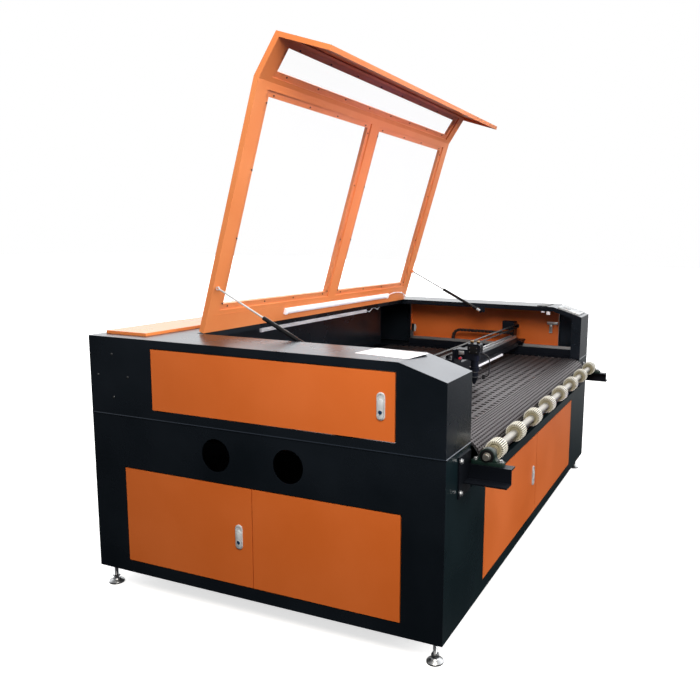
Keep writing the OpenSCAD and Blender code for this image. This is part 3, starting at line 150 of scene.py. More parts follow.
# Materials
def startMaterial(name, **values):  # values go to the shader's own sockets, with _ for a space in the name
    mat = bpy.data.materials.new(name)
    mat.use_nodes = True
    tree = mat.node_tree
    shader = tree.nodes["Principled BSDF"]
    for key, value in values.items():
        shader.inputs[key.replace("_", " ")].default_value = value
    return mat, tree, shader, addNode(tree, "ShaderNodeTexCoord").outputs["Object"]


def toneAndGloss(tree, shader, value, colors, ramp, limits, rough, spread):  # both follow one value
    tone = addNode(tree, "ShaderNodeValToRGB", {"Fac": value})
    rampStops(tone, [(place, hexColor(color)) for place, color in zip(ramp, colors)])
    gloss = addNode(tree, "ShaderNodeMapRange", {
        "Value": value, "From Min": limits[0], "From Max": limits[1],
        "To Min": rough - spread, "To Max": rough + spread})
    tree.links.new(tone.outputs["Color"], shader.inputs["Base Color"])
    tree.links.new(gloss.outputs["Result"], shader.inputs["Roughness"])


def cloudyTone(tree, shader, spots, colors, scale, rough, spread):  # slow drift of tone and gloss
    cloud = addNode(tree, "ShaderNodeTexNoise", {"Vector": spots, "Scale": scale, "Detail": 5.0})
    toneAndGloss(tree, shader, cloud, colors, ramp=(0.34, 0.66), limits=(0.3, 0.7), rough=rough, spread=spread)


def grainBump(tree, shader, spots, perMetre, strength, depth):  # fine relief of the surface
    grain = addNode(tree, "ShaderNodeTexNoise", {"Vector": spots, "Scale": perMetre, "Detail": 2.0})
    bump = addNode(tree, "ShaderNodeBump", {"Height": grain, "Strength": strength, "Distance": depth})
    tree.links.new(bump.outputs["Normal"], shader.inputs["Normal"])


# Powder coat: sprayed and baked, so a 3 mm orange peel breaks its satin gloss.
# reflectionTint colours the coat's gloss; a bluish one is a painted reflection of a cool sky
def powderCoat(name, deep, base, rough, peel=0.12, reflectionTint="#ffffff", level=0.5):
    mat, tree, shader, spots = startMaterial(name, Specular_Tint=hexColor(reflectionTint), Specular_IOR_Level=level)
    cloudyTone(tree, shader, spots, (deep, base), scale=2.6, rough=rough, spread=0.05)
    grainBump(tree, shader, spots, perMetre=330.0, strength=peel, depth=0.0006)
    return mat


# Drawn or rolled metal: fine streaks along one axis, so highlights stretch across them.
def rolledMetal(name, deep, base, rough, along):
    mat, tree, shader, spots = startMaterial(name, Metallic=1.0)
    stretch = [900.0 if axis != along else 9.0 for axis in "xyz"]  # streaks per metre
    lay = addNode(tree, "ShaderNodeMapping", {"Vector": spots, "Scale": stretch})
    streak = addNode(tree, "ShaderNodeTexNoise", {"Vector": lay, "Scale": 1.0, "Detail": 3.0})
    toneAndGloss(tree, shader, streak, (deep, base), ramp=(0.3, 0.7), limits=(0.0, 1.0), rough=rough, spread=0.08)
    return mat


# Moulded plastic: one colour right through, a faint mould grain and a soft sheen.
def mouldedPlastic(name, deep, base, rough, grit=0.1, **values):
    mat, tree, shader, spots = startMaterial(name, **values)
    cloudyTone(tree, shader, spots, (deep, base), scale=24.0, rough=rough, spread=0.06)
    grainBump(tree, shader, spots, perMetre=700.0, strength=grit, depth=0.0003)
    return mat


# Cream nylon wheels: lightest at the tips, with painted shade darkening the face towards the hub and between the
# teeth.
def wheelNylon(name, axis, outer, stops, gap):
    mat, tree, shader, spots = startMaterial(name, Roughness=0.5)
    away = addNode(tree, "ShaderNodeVectorMath", {0: spots, 1: axis}, operation="SUBTRACT")
    flat = addNode(tree, "ShaderNodeVectorMath", {0: away, 1: (0, 1, 1)}, operation="MULTIPLY")
    reach = addNode(tree, "ShaderNodeVectorMath", {0: flat}, operation="LENGTH").outputs["Value"]
    # The tone darkens towards the hub: painted shade on the face and web
    share = addNode(tree, "ShaderNodeMapRange", {"Value": reach, "From Max": outer})
    tone = addNode(tree, "ShaderNodeValToRGB", {"Fac": share})
    rampStops(tone, [(radius / outer, hexColor(color)) for radius, color in stops])
    grime = addNode(tree, "ShaderNodeAttribute", attribute_name="grime").outputs["Fac"]
    gapShaded = addNode(tree, "ShaderNodeMix", {0: grime, 6: tone, 7: hexColor(gap)}, data_type="RGBA")
    tree.links.new(gapShaded.outputs[2], shader.inputs["Base Color"])
    grainBump(tree, shader, spots, perMetre=700.0, strength=0.1, depth=0.0003)
    return mat


# The bluish gloss tints on these black coats are painted reflection
blackCoat = powderCoat("blackPowderCoat", "#0e1318", "#161b21", 0.27, reflectionTint="#c8dcff")
# The same black coat tinted green for the front panel: a painted green reflection
frontReflectionBlackCoat = powderCoat("greenBlackPowderCoat", "#08161a", "#0e1d21", 0.30, reflectionTint="#c8e4ff")
# A darker, duller copy of the black coat for the parts inside the machine: painted shade
shadedInnerCoat = powderCoat("innerBlackPaint", "#06080b", "#0b0e13", 0.46, reflectionTint="#ccd8ff", level=0.3)
orangeCoat = powderCoat("orangePowderCoat", "#d6692a", "#de7133", 0.34)
# A lighter copy of the orange coat for the lid: painted light, as the lid faces the light
lidLitOrangeCoat = powderCoat("lidOrangePowderCoat", "#e48348", "#eb9259", 0.34)
# A lighter, glossier copy of the orange coat for the rear cover: painted sheen for its bright grazing reflection
coverSheenOrangeCoat = powderCoat("coverOrangePowderCoat", "#e6803e", "#ee8e50", 0.28)
zinc = rolledMetal("brightZincSteel", "#9a9c9f", "#cfd1d3", 0.34, "z")
railSteel = rolledMetal("groundRailSteel", "#b4b6b9", "#e2e4e6", 0.40, "y")
gantryRailSteel = rolledMetal("groundCrossRailSteel", "#b4b6b9", "#e2e4e6", 0.42, "x")
shaftSteel = rolledMetal("turnedShaftSteel", "#8a8883", "#bdbab3", 0.5, "x")
frameSteel = rolledMetal("mildSteelFrame", "#4c4d50", "#737578", 0.5, "y")
beltSteel = rolledMetal("oiledBeltWire", "#3b383a", "#625d5f", 0.5, "x")
# Light grey without metal on the locks and strut rods: painted reflection standing in for bright chrome
paintedChromeReflection = mouldedPlastic("silverLockLacquer", "#b4b8bc", "#cdd1d5", 0.32)
# Near-black band under the belt: painted shade where the gaps look into the machine
beltShade = mouldedPlastic("oiledBeltUnderside", "#161213", "#231e1f", 0.6)
brass = rolledMetal("turnedBrass", "#a8762c", "#dcae58", 0.3, "z")
nylon = wheelNylon("creamNylon", (0, -0.779, 0.727), 0.04,
                   ((0.019, "#8d866d"), (0.0262, "#b3ad95"), (0.0318, "#c6c1ab"), (0.0345, "#dcd9cb")), "#353226")
blackPlastic = mouldedPlastic("blackNylon", "#0c0c0e", "#17171a", 0.42)
blackRubber = mouldedPlastic("blackBeltRubber", "#0d0d0e", "#18181a", 0.6)
whitePlastic = mouldedPlastic("whiteLampPlastic", "#e6e5ee", "#f4f3f8", 0.35)
# The lamps are not lit; their faint emission is painted light that keeps the white bright in shade
lampDiffuser = mouldedPlastic("lampDiffuser", "#e6e5ee", "#f4f3f8", 0.35, Emission_Color=hexColor("#eeeef6"),
                              Emission_Strength=0.22)
redPlastic = mouldedPlastic("redFittingPlastic", "#8d141d", "#c4222c", 0.35)
greyPaint = powderCoat("greyPanelPaint", "#b7babd", "#cbced0", 0.35)
castPaint = powderCoat("greenPaintedIron", "#0b1d19", "#132822", 0.4, 0.4, level=0.3)
strutPaint = mouldedPlastic("blackStrutLacquer", "#08090b", "#121316", 0.22)
glassClear = mouldedPlastic("clearAcrylic", "#f1f4f6", "#ffffff", 0.06, 0.0, Alpha=0.02)
tubeGlass = mouldedPlastic("tubeGlass", "#c9d6dc", "#e4eef2", 0.1, 0.0, Alpha=0.45)
# Near-black with little sheen: painted shade in the recess under each lock lever, and on the black bearing seals, kept
# darker than lit; the head plates' black too
recessShade = mouldedPlastic("darkRecess", "#050506", "#0a0a0c", 0.7, Specular_IOR_Level=0.15)
screen = mouldedPlastic("keypadFilm", "#9da3a8", "#b4babf", 0.3)
keyBlue = mouldedPlastic("blueKeyPlug", "#0f2440", "#1a3a5e", 0.3)
floorPaint = mouldedPlastic("paleFloorPaint", "#f4f4f4", "#f8f8f8", 0.8, 0.0, Specular_IOR_Level=0.1,
                            Emission_Color=hexColor("#ffffff"), Emission_Strength=0.66)
floorMesh.materials.append(floorPaint)


def ending(*tails):  # nodes whose names end this way
    return [name for name in nodes if name.endswith(tails)]


finish = {
    blackCoat: ["lower_left_panel", "lower_right_panel", "lower_rear_panel", "upper_left_wall", "upper_right_wall",
                "rear_housing"],
    frontReflectionBlackCoat: ["lower_front_panel"],
    shadedInnerCoat: ["floor_pan", "inner_frame", "roller_brackets", "rail_beams", "gantry_beam", "gantry_ends",
                "carriage", "head_block", "lens_tube", "x_motor"],
    orangeCoat: ending("_door"), lidLitOrangeCoat: ["lid_frame"], coverSheenOrangeCoat: ["rear_cover"],
    zinc: ["levelling_feet", "optics_mounts"],
    paintedChromeReflection: ["strut_rod_left", "strut_rod_right"] + ending("_lock", "_handle"),
    railSteel: ["y_rails"], gantryRailSteel: ["x_rails"], shaftSteel: ["feed_shaft", "rear_drum"],
    frameSteel: ["bed_frame"], beltSteel: ["conveyor_belt"], nylon: ["feed_wheels"], castPaint: ["pillow_blocks"],
    blackPlastic: ["drag_chain", "pointer_arm"], blackRubber: ["x_belt"],
    strutPaint: ["strut_cylinder_left", "strut_cylinder_right"], greyPaint: ["control_panel"],
    lampDiffuser: ending("_lamp"), glassClear: ["lid_windows"], tubeGlass: ["laser_tube"]}
for mat, names in finish.items():
    for name in names:
        nodes[name].data.materials.clear()
        nodes[name].data.materials.append(mat)
print("materials on", sum(len(names) for names in finish.values()), "nodes")


# Pieces and node trees
def placePiece(name, mesh, body, slot, *replaced):  # a finished mesh, at the origin, riding on its body
    mesh.name = name
    piece = addObject(name, mesh)
    if body:
        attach(piece, body)
    if replaced:
        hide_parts(*replaced)
    return piece


def newTree(name, sizes):  # an empty geometry tree with named size inputs
    tree = bpy.data.node_groups.new(name, "GeometryNodeTree")
    tree.interface.new_socket("Geometry", in_out="INPUT", socket_type="NodeSocketGeometry")
    for label, kind in sizes.items():
        tree.interface.new_socket(label, in_out="INPUT", socket_type="NodeSocket" + kind)
    tree.interface.new_socket("Geometry", in_out="OUTPUT", socket_type="NodeSocketGeometry")
    return tree, tree.nodes.new("NodeGroupInput").outputs


def closeTree(tree, geometry, mat):  # every tree ends in realized instances with their material
    whole = addNode(tree, "GeometryNodeRealizeInstances", {"Geometry": geometry})
    painted = addNode(tree, "GeometryNodeSetMaterial", {"Geometry": whole, "Material": mat})
    addNode(tree, "NodeGroupOutput", {"Geometry": painted})


def bakeTree(tree, values, start):  # run a node tree once on the start mesh and keep the result as a plain mesh
    holder = addObject(tree.name + "Source", start)
    modifier = holder.modifiers.new("build", "NODES")
    modifier.node_group = tree
    for item in tree.interface.items_tree:
        if item.in_out == "INPUT" and item.name in values:
            modifier[item.identifier] = values[item.name]
    graph = bpy.context.evaluated_depsgraph_get()
    mesh = bpy.data.meshes.new_from_object(holder.evaluated_get(graph))
    holder.modifiers.clear()
    bpy.data.objects.remove(holder)
    return mesh


def pointsMesh(places, facings):  # vertices that carry the direction their part points in
    mesh = bpy.data.meshes.new("places")
    mesh.from_pydata([tuple(p) for p in places], [], [])
    outward = mesh.attributes.new("facing", "FLOAT_VECTOR", "POINT")
    outward.data.foreach_set("vector", [c for f in facings for c in f])
    return mesh


def makeCopies(name, part, body, places, facings, slot, *replaced):  # one part set on every point, facing its way
    tree, sizes = newTree(name, {"Part": "Object", "Size": "Float"})
    info = addNode(tree, "GeometryNodeObjectInfo", {"Object": sizes["Part"]}).outputs["Geometry"]
    outward = addNode(tree, "GeometryNodeInputNamedAttribute", {"Name": "facing"}, data_type="FLOAT_VECTOR")
    turn = addNode(tree, "FunctionNodeAlignRotationToVector", {"Vector": outward}, axis="Z")
    copies = addNode(tree, "GeometryNodeInstanceOnPoints", {
        "Points": sizes["Geometry"], "Scale": sizes["Size"], "Instance": info, "Rotation": turn})
    closeTree(tree, copies, part.materials[0])
    source = addObject(name + "Part", part)
    mesh = bakeTree(tree, {"Part": source, "Size": 1.0}, pointsMesh(places, facings))
    bpy.data.objects.remove(source)
    return placePiece(name, mesh, body, slot, *replaced)


# Shapes
def unitArc(angle, steps):  # (cosine, sine) pairs from 0 up to the angle
    return [(math.cos(angle * k / steps), math.sin(angle * k / steps)) for k in range(steps + 1)]


def roundRect(width, height, radius, steps=5):  # outline of a rectangle with rounded corners
    corners = [(1, 1), (-1, 1), (-1, -1), (1, -1)]
    return [(sx * (width / 2 - radius) + radius * math.cos(math.pi / 2 * (q + k / steps)),
             sy * (height / 2 - radius) + radius * math.sin(math.pi / 2 * (q + k / steps)))
            for q, (sx, sy) in enumerate(corners) for k in range(steps + 1)]


def addRings(bm, rings, capped=True):  # skin over rings of equal count, with or without its end faces
    for a, b in zip(rings, rings[1:]):
        for k in range(len(a)):
            n = (k + 1) % len(a)
            bm.faces.new((a[k], a[n], b[n], b[k]))
    if capped:
        bm.faces.new(rings[0][::-1])
        bm.faces.new(rings[-1])


def addBox(bm, low, high, bevel, turn=None):  # box between two corners, edges eased by bevel
    made = bmesh.ops.create_cube(bm, size=1.0)["verts"]
    for v in made:
        v.co = Vector(a + (b - a) * (c + 0.5) for a, b, c in zip(Vector(low), Vector(high), v.co))
    edges = list({e for v in made for e in v.link_edges})
    made = bmesh.ops.bevel(bm, geom=made + edges, offset=bevel, segments=2, profile=0.6, affect="EDGES")["verts"]
    if turn:
        bmesh.ops.transform(bm, matrix=turn, verts=made)


# A slab is a rounded plate: width, height, corner radius, low and high face, ease of its upper edge
def addSlab(bm, place, width, height, radius, low, high, ease):
    levels = [(low, 0.0), (high - ease, 0.0), (high - 0.3 * ease, 0.3 * ease), (high, ease)]
    addRings(bm, [[bm.verts.new(place @ Vector((x, y, z)))
                   for x, y in roundRect(width - 2 * cut, height - 2 * cut, max(radius - cut, 0.0002))]
                  for z, cut in levels])


def addPrism(bm, outline, levels, place):  # outline in (y, z) drawn along x; each level is (x, scale)
    addRings(bm, [[bm.verts.new(place @ Vector((x, y * s, z * s))) for y, z in outline] for x, s in levels])


# Lathe (radius, height) pairs about the local z axis; a knurl pulls in every second row of the widest rings
def addTurned(bm, profile, place=Matrix.Identity(4), sides=32, knurl=0):
    rings, widest = [], max(r for r, z in profile)
    for r, z in profile:
        spots = unitArc(math.tau, sides)[:-1] if r else [(0, 0)]
        radii = [r * (1 - knurl * (k % 2)) if r == widest else r for k in range(len(spots))]
        rings.append([bm.verts.new(place @ Vector((q * c, q * s, z))) for q, (c, s) in zip(radii, spots)])
    for low, high in zip(rings, rings[1:]):
        for k in range(sides):
            loop = [low[k % len(low)], low[(k + 1) % len(low)], high[(k + 1) % len(high)], high[k % len(high)]]
            face = [v for i, v in enumerate(loop) if v not in loop[:i]]
            if len(face) > 2:
                bm.faces.new(face)


def ringProfile(bore, edge, outer, ease, low, high):  # section of a ring with both outer edges eased
    return [(bore, low), (edge, low), (outer, low + ease), (outer, high - ease), (edge, high), (bore, high)]


def addTube(bm, points, radius, sides):  # round tube along a list of points
    rings, side = [], None
    for i, p in enumerate(points):
        along = (points[min(i + 1, len(points) - 1)] - points[max(i - 1, 0)]).normalized()
        if side is None:
            side = along.orthogonal().normalized()
        side = (side - along * side.dot(along)).normalized()
        other = along.cross(side)
        rings.append([bm.verts.new(p + radius * (c * side + s * other)) for c, s in unitArc(math.tau, sides)[:-1]])
    addRings(bm, rings)


def smoothPath(points, steps=8):  # Catmull-Rom line through the given points
    points = [Vector(p) for p in points]
    ends = [2 * points[0] - points[1]] + points + [2 * points[-1] - points[-2]]
    line = []
    for a, b, c, d in zip(ends, ends[1:], ends[2:], ends[3:]):
        for t in [k / steps for k in range(steps)]:
            line.append(0.5 * (2 * b + (c - a) * t + (2 * a - 5 * b + 4 * c - d) * t * t
                               + (3 * b - a - 3 * c + d) * t ** 3))
    return line + [points[-1]]


def facing(outward, place):  # a place with local z out of the face and local y up
    out, up = Vector(outward), Vector((0, 0, 1))
    return at(*place) @ Matrix((up.cross(out), up, out)).transposed().to_4x4()


def finishMesh(bm, mat, smooth=35):  # merge, turn faces outwards, shade smooth up to an angle, paint
    bmesh.ops.remove_doubles(bm, verts=bm.verts, dist=1e-6)
    bmesh.ops.recalc_face_normals(bm, faces=bm.faces)
    mesh = bpy.data.meshes.new(mat.name)
    bm.to_mesh(mesh)
    bm.free()
    mesh.shade_smooth()
    mesh.set_sharp_from_angle(angle=math.radians(smooth))
    mesh.materials.append(mat)
    return mesh


def addPiece(name, bm, mat, body, slot, *replaced):
    return placePiece(name, finishMesh(bm, mat), body, slot, *replaced)


def mm(*sizes):  # millimetres, in rows or not, to metres
    return [mm(*size) if isinstance(size, tuple) else size / 1000 for size in sizes]


alongX = turned(90, "Y")  # turns a lathe's axis to x

# Conveyor belt: cross strips tied by short links at the nose; behind it pairs of strips joined by flat plates,
# with rows of square openings between the plates
belt = {"halfWidth": 1.015, "top": 0.775, "turnRadius": 0.082, "noseY": -0.6639, "rearY": 0.579,
        "rowPitch": 0.01415, "stripDepth": 0.0116, "stripSides": 8, "flatness": 0.32, "closeUp": 0.00125,
        "noseShare": 0.74, "plainRows": 4, "platePitch": 0.044, "plateLength": 0.021, "plateDepth": 0.0215,
        "plateThick": 0.0026, "firstPlate": -1.004, "linkPitch": 0.022, "linkWidth": 0.0085, "linkThick": 0.0024,
        "linkedDown": 0.03, "bandDrop": 0.0046, "bandStep": 0.02}
beltInputs = ("halfWidth", "stripDepth", "flatness", "rowPitch", "platePitch", "plateLength", "plateDepth",
              "firstPlate", "linkPitch", "linkWidth")
beltAxisZ = belt["top"] - belt["turnRadius"]


def beltPath(radius, stepLength):  # closed line round the nose and the drum, as (y, z, on the upper run)
    nose, rear = belt["noseY"], belt["rearY"]
    run = rear - nose
    count, arc = round(run / stepLength), round(math.pi * radius / stepLength)
    bend = [(radius * s, radius * c) for c, s in unitArc(math.pi, arc)[:-1]]
    line = [(nose + run * k / count, beltAxisZ + radius, True) for k in range(count)]
    line += [(rear + y, beltAxisZ + z, False) for y, z in bend]
    line += [(rear - run * k / count, beltAxisZ - radius, False) for k in range(count)]
    return line + [(nose - y, beltAxisZ - z, False) for y, z in bend]


def beltTree():  # strip, row of plates and row of links, each laid on its own points
    tree, sizes = newTree("beltStrips", {key: "Float" for key in beltInputs})
    width = addNode(tree, "ShaderNodeMath", {0: sizes["halfWidth"], 1: 2.0}, operation="MULTIPLY")
    radius = addNode(tree, "ShaderNodeMath", {0: sizes["stripDepth"], 1: 0.5}, operation="MULTIPLY")
    press = addNode(tree, "ShaderNodeCombineXYZ", {0: sizes["flatness"], 1: 1.0, 2: 1.0})
    rod = addNode(tree, "GeometryNodeMeshCylinder", {"Vertices": belt["stripSides"], "Radius": radius, "Depth": width})
    strip = addNode(tree, "GeometryNodeTransform", {
        "Geometry": rod, "Scale": press, "Rotation": (0, math.pi / 2, 0)})
    plateSize = addNode(tree, "ShaderNodeCombineXYZ", {
        0: sizes["plateLength"], 1: sizes["plateDepth"], 2: belt["plateThick"]})
    plate = addNode(tree, "GeometryNodeMeshCube", {"Size": plateSize})
    linkSize = addNode(tree, "ShaderNodeCombineXYZ", {0: sizes["linkWidth"], 1: radius, 2: belt["linkThick"]})
    link = addNode(tree, "GeometryNodeMeshCube", {"Size": linkSize})
    ahead = addNode(tree, "ShaderNodeMath", {0: sizes["rowPitch"], 1: 0.5}, operation="MULTIPLY")
    between = addNode(tree, "ShaderNodeCombineXYZ", {1: ahead})
    tie = addNode(tree, "GeometryNodeTransform", {"Geometry": link, "Translation": between})

    rows = [strip]
    begin = addNode(tree, "ShaderNodeCombineXYZ", {0: sizes["firstPlate"]})
    for part, pitch in ((plate, sizes["platePitch"]), (tie, sizes["linkPitch"])):
        count = addNode(tree, "ShaderNodeMath", {0: width, 1: pitch}, operation="DIVIDE")
        step = addNode(tree, "ShaderNodeCombineXYZ", {0: pitch})
        line = addNode(tree, "GeometryNodeMeshLine", {"Count": count, "Start Location": begin, "Offset": step})
        row = addNode(tree, "GeometryNodeInstanceOnPoints", {"Points": line, "Instance": part})
        rows.append(addNode(tree, "GeometryNodeRealizeInstances", {"Geometry": row}))

    tangent = addNode(tree, "GeometryNodeInputNamedAttribute", {"Name": "facing"}, data_type="FLOAT_VECTOR")
    turn = addNode(tree, "FunctionNodeAlignRotationToVector", {"Vector": tangent}, axis="Y", pivot_axis="X")
    share = addNode(tree, "GeometryNodeInputNamedAttribute", {"Name": "share"}, data_type="FLOAT")
    slim = addNode(tree, "ShaderNodeCombineXYZ", {0: 1.0, 1: share, 2: 1.0})
    both = addNode(tree, "GeometryNodeJoinGeometry")
    for row, use in zip(rows, ("whole", "broken", "linked")):
        chosen = addNode(tree, "GeometryNodeInputNamedAttribute", {"Name": use}, data_type="FLOAT")
        laid = addNode(tree, "GeometryNodeInstanceOnPoints", {
            "Points": sizes["Geometry"], "Selection": chosen, "Instance": row, "Rotation": turn,
            "Scale": slim if use == "whole" else (1, 1, 1)})
        tree.links.new(laid.outputs["Instances"], both.inputs[0])
    closeTree(tree, both, beltSteel)
    return tree


def makeBelt():
    path = beltPath(belt["turnRadius"] - belt["stripDepth"] * belt["flatness"] / 2, belt["rowPitch"])
    facings = [Vector((0, b[0] - a[0], b[1] - a[1])).normalized() for a, b in zip(path, path[1:] + path[:1])]
    slotted = [upper and k >= belt["plainRows"] for k, (y, z, upper) in enumerate(path)]
    drift = [(k % 3 - 1) * belt["closeUp"] if wide else 0 for k, wide in enumerate(slotted)]
    start = pointsMesh([(0, y + shift, z) for (y, z, upper), shift in zip(path, drift)], facings)
    broken = [float(wide and k % 3 == 1) for k, wide in enumerate(slotted)]
    linkLow = beltAxisZ - belt["linkedDown"]
    flags = {"whole": [1 - flag for flag in broken], "broken": broken,
             "linked": [float(not wide and z > linkLow and y < 0) for (y, z, upper), wide in zip(path, slotted)],
             "share": [1.0 if wide else belt["noseShare"] for wide in slotted]}  # slimmer strips round the nose
    for use, numbers in flags.items():
        start.attributes.new(use, "FLOAT", "POINT").data.foreach_set("value", numbers)
    values = {key: belt[key] for key in beltInputs}
    placePiece("beltStrips", bakeTree(beltTree(), values, start), "root", "belt_steel", "conveyor_belt")
    bm = bmesh.new()  # dark under-band that closes the gaps: painted shade seen through them
    line = beltPath(belt["turnRadius"] - belt["bandDrop"], belt["bandStep"])
    edges = (-belt["halfWidth"], belt["halfWidth"])
    addRings(bm, [[bm.verts.new((x, y, z)) for y, z, upper in line] for x in edges], False)
    addPiece("beltUnderBand", bm, beltShade, "root", "belt_steel")


makeBelt()
print("belt")

# Feed roller: toothed nylon wheels with a recessed web, on a turned shaft with centre holes and spacer tubes
roller = {"y": -0.779, "z": 0.727, "tip": 0.037, "root": 0.0318, "half": 0.030, "teeth": 28,
          "toothShares": (0.22, 0.26, 0.74, 0.78), "rim": 0.0252, "hub": 0.019, "ease": 0.001, "slope": 0.0008,
          "recess": 0.0055, "bore": 0.0126, "first": -0.936, "pitch": 0.27443, "count": 8, "shaft": 0.0125,
          "spacer": 0.0150, "spacerGap": 0.0002, "end": 1.069,
          "endProfile": mm((0, -7), (2.4, -7), (4, 0), (11.3, 0), (12.5, -1.2))}


def makeWheels():
    bm = bmesh.new()
    grime = bm.verts.layers.float.new("grime")  # painted shade between the teeth
    half, ease, slope = roller["half"], roller["ease"], roller["slope"]
    deep, hub, rim = half - roller["recess"], roller["hub"], roller["rim"]
    profile = [(roller["bore"], half, 0), (hub - ease, half, 0), (hub, half - ease, 0), (hub + slope, deep, 0),
               (rim - slope, deep, 0), (rim, half - ease, 0), (rim + ease, half, 0), (-slope, half, 1),
               (0.0, half - slope, 1)]  # radius (on the teeth: from the tooth's edge), x, on the teeth
    profile += [(r, -x, gear) for r, x, gear in reversed(profile)]
    rings = []
    for r, x, gear in profile:
        ring = []
        for k in range(roller["teeth"] * 4):
            a = math.tau * (k // 4 + roller["toothShares"][k % 4]) / roller["teeth"]
            onTooth = k % 4 in (1, 2)
            edge = (roller["tip"] if onTooth else roller["root"]) + r if gear else r
            ring.append(bm.verts.new((edge * math.sin(a), edge * math.cos(a), x)))
            ring[-1][grime] = float(gear and not onTooth)
        rings.append(ring)
    addRings(bm, rings + rings[:1], False)
    places = [(roller["first"] + k * roller["pitch"], roller["y"], roller["z"]) for k in range(roller["count"])]
    makeCopies("feedWheels", finishMesh(bm, nylon, 25), "feed_roller", places, [(1, 0, 0)] * len(places),
               "cream_nylon", "feed_wheels")


def makeShaft():
    bm = bmesh.new()
    axis = at(0, roller["y"], roller["z"]) @ alongX
    half = [(r, roller["end"] + x) for r, x in roller["endProfile"]]
    addTurned(bm, half + [(r, -x) for r, x in reversed(half)], axis)
    r, outer, gap = roller["shaft"], roller["spacer"], roller["spacerGap"]
    for k in range(roller["count"] - 1):  # spacer tubes between the wheels
        low = roller["first"] + k * roller["pitch"] + roller["half"] + gap
        high = low + roller["pitch"] - 2 * roller["half"] - 2 * gap
        addTurned(bm, [(r, low), (outer, low), (outer, high), (r, high)], axis)
    addPiece("feedShaft", bm, shaftSteel, "feed_roller", "zinc_steel", "feed_shaft")


makeWheels()
makeShaft()

# Pillow blocks: cast housing with eased edges, dark seal ring, inner race and grease nipple
block = {"x": 1.036, "drop": 0.033, "foot": mm(127, 38, 13, 0.3, 14, 2.5), "arch": 0.030, "archSteps": 20,
         "shoulder": mm((44, -19.5), (36, -14), (31.5, -6)),
         "levels": ((-0.0155, 0.90), (-0.0145, 0.96), (-0.0120, 1.0), (0.0120, 1.0), (0.0145, 0.96), (0.0155, 0.90)),
         "seal": mm((15.8, 12), (15.8, 17.2), (17.2, 18.2), (24, 18), (26, 16.8), (26.2, 12)),
         "race": mm((12.56, 12), (12.56, 18.5), (13, 19), (15.3, 19), (15.8, 18.2), (15.8, 12)),
         "nipple": mm((0, 36.5), (1.2, 36.5), (2.2, 34.5), (1.6, 33.5), (2.8, 32.5), (2.8, 28.5)), "nippleLean": -0.6}


def makeBlocks():
    cast, seal, race = bmesh.new(), bmesh.new(), bmesh.new()
    r = block["arch"]
    outline = block["shoulder"] + [(r * c, r * s) for c, s in unitArc(math.pi, block["archSteps"])]
    outline += [(-y, z) for y, z in reversed(block["shoulder"])]
    for side in (-1, 1):
        centre = at(side * block["x"], roller["y"], roller["z"])
        addPrism(cast, outline, block["levels"], centre)
        addSlab(cast, centre @ at(0, 0, -block["drop"]) @ turned(90, "Z"), *block["foot"])
        for flip in (180, 0):
            spin = centre @ alongX @ turned(flip, "X")
            addTurned(seal, block["seal"], spin)
            addTurned(race, block["race"], spin)
        addTurned(race, block["nipple"], centre @ Matrix.Rotation(block["nippleLean"], 4, "X"), 12)
    addPiece("bearingCastings", cast, castPaint, "root", "green_casting", "pillow_blocks")
    addPiece("bearingSeals", seal, recessShade, "root", "black_plastic")
    addPiece("bearingRaces", race, shaftSteel, "root", "zinc_steel")


makeBlocks()

# Fasteners: hex bolts on washers and pan head screws, drawn once and set on points
bolt = {"washer": mm((0, 0), (11.2, 0), (11.2, 1.7), (10.8, 2), (0, 2)),
        "head": mm((0, 2), (8.5, 2), (8.5, 7.2), (7.3, 8.4), (0, 8.4)),
        "blockReach": 0.0475, "blockTop": 0.708, "plateX": 1.148, "plateY": -0.715, "plateZs": (0.727, 0.610)}
screw = {"sunk": -0.0006,  # the dome is in shares of head and height
         "dome": ((1, 0.25), (0.85, 0.75), (0.5, 1), (0.45, 1), (0.40, 0.35), (0, 0.35))}
lid = {"hinge": (0, 0.531, 1.096), "open": -73.4, "skin": -0.006, "bendY": -1.070, "bend": 17.19}
lidPlace = at(*lid["hinge"]) @ turned(lid["open"], "X") @ at(0, 0, lid["skin"])
slopePlace = lidPlace @ at(0, lid["bendY"], 0) @ turned(lid["bend"], "X")
windows = {"centres": (-0.4985, 0.4985), "halfWidth": 0.4415, "ends": (-0.117, -1.020), "level": -0.0201,
           "across": (-0.404, -0.128, 0.115, 0.400), "up": (-0.985, -0.713, -0.421, -0.130),
           "slopeFirst": -0.86, "slopePitch": 0.2457, "slopeCount": 8, "slopeYs": (-0.041, -0.159),
           "screw": mm(3.7, 2.2)}
sideScrew = {"x": 1.2851, "y": 0.755, "z": 0.930, "offsets": ((0.079, 0), (-0.079, 0), (0, 0.089), (0, -0.089)),
             "screw": mm(5, 3)}


def hexBolt(mat):
    bm = bmesh.new()
    addTurned(bm, bolt["washer"], sides=28)
    addTurned(bm, bolt["head"], sides=6)
    return finishMesh(bm, mat, 30)


def panScrew(mat, head, height):  # domed head with a round drive hole
    bm = bmesh.new()
    addTurned(bm, [(head, screw["sunk"])] + [(r * head, z * height) for r, z in screw["dome"]], sides=16)
    return finishMesh(bm, mat, 30)


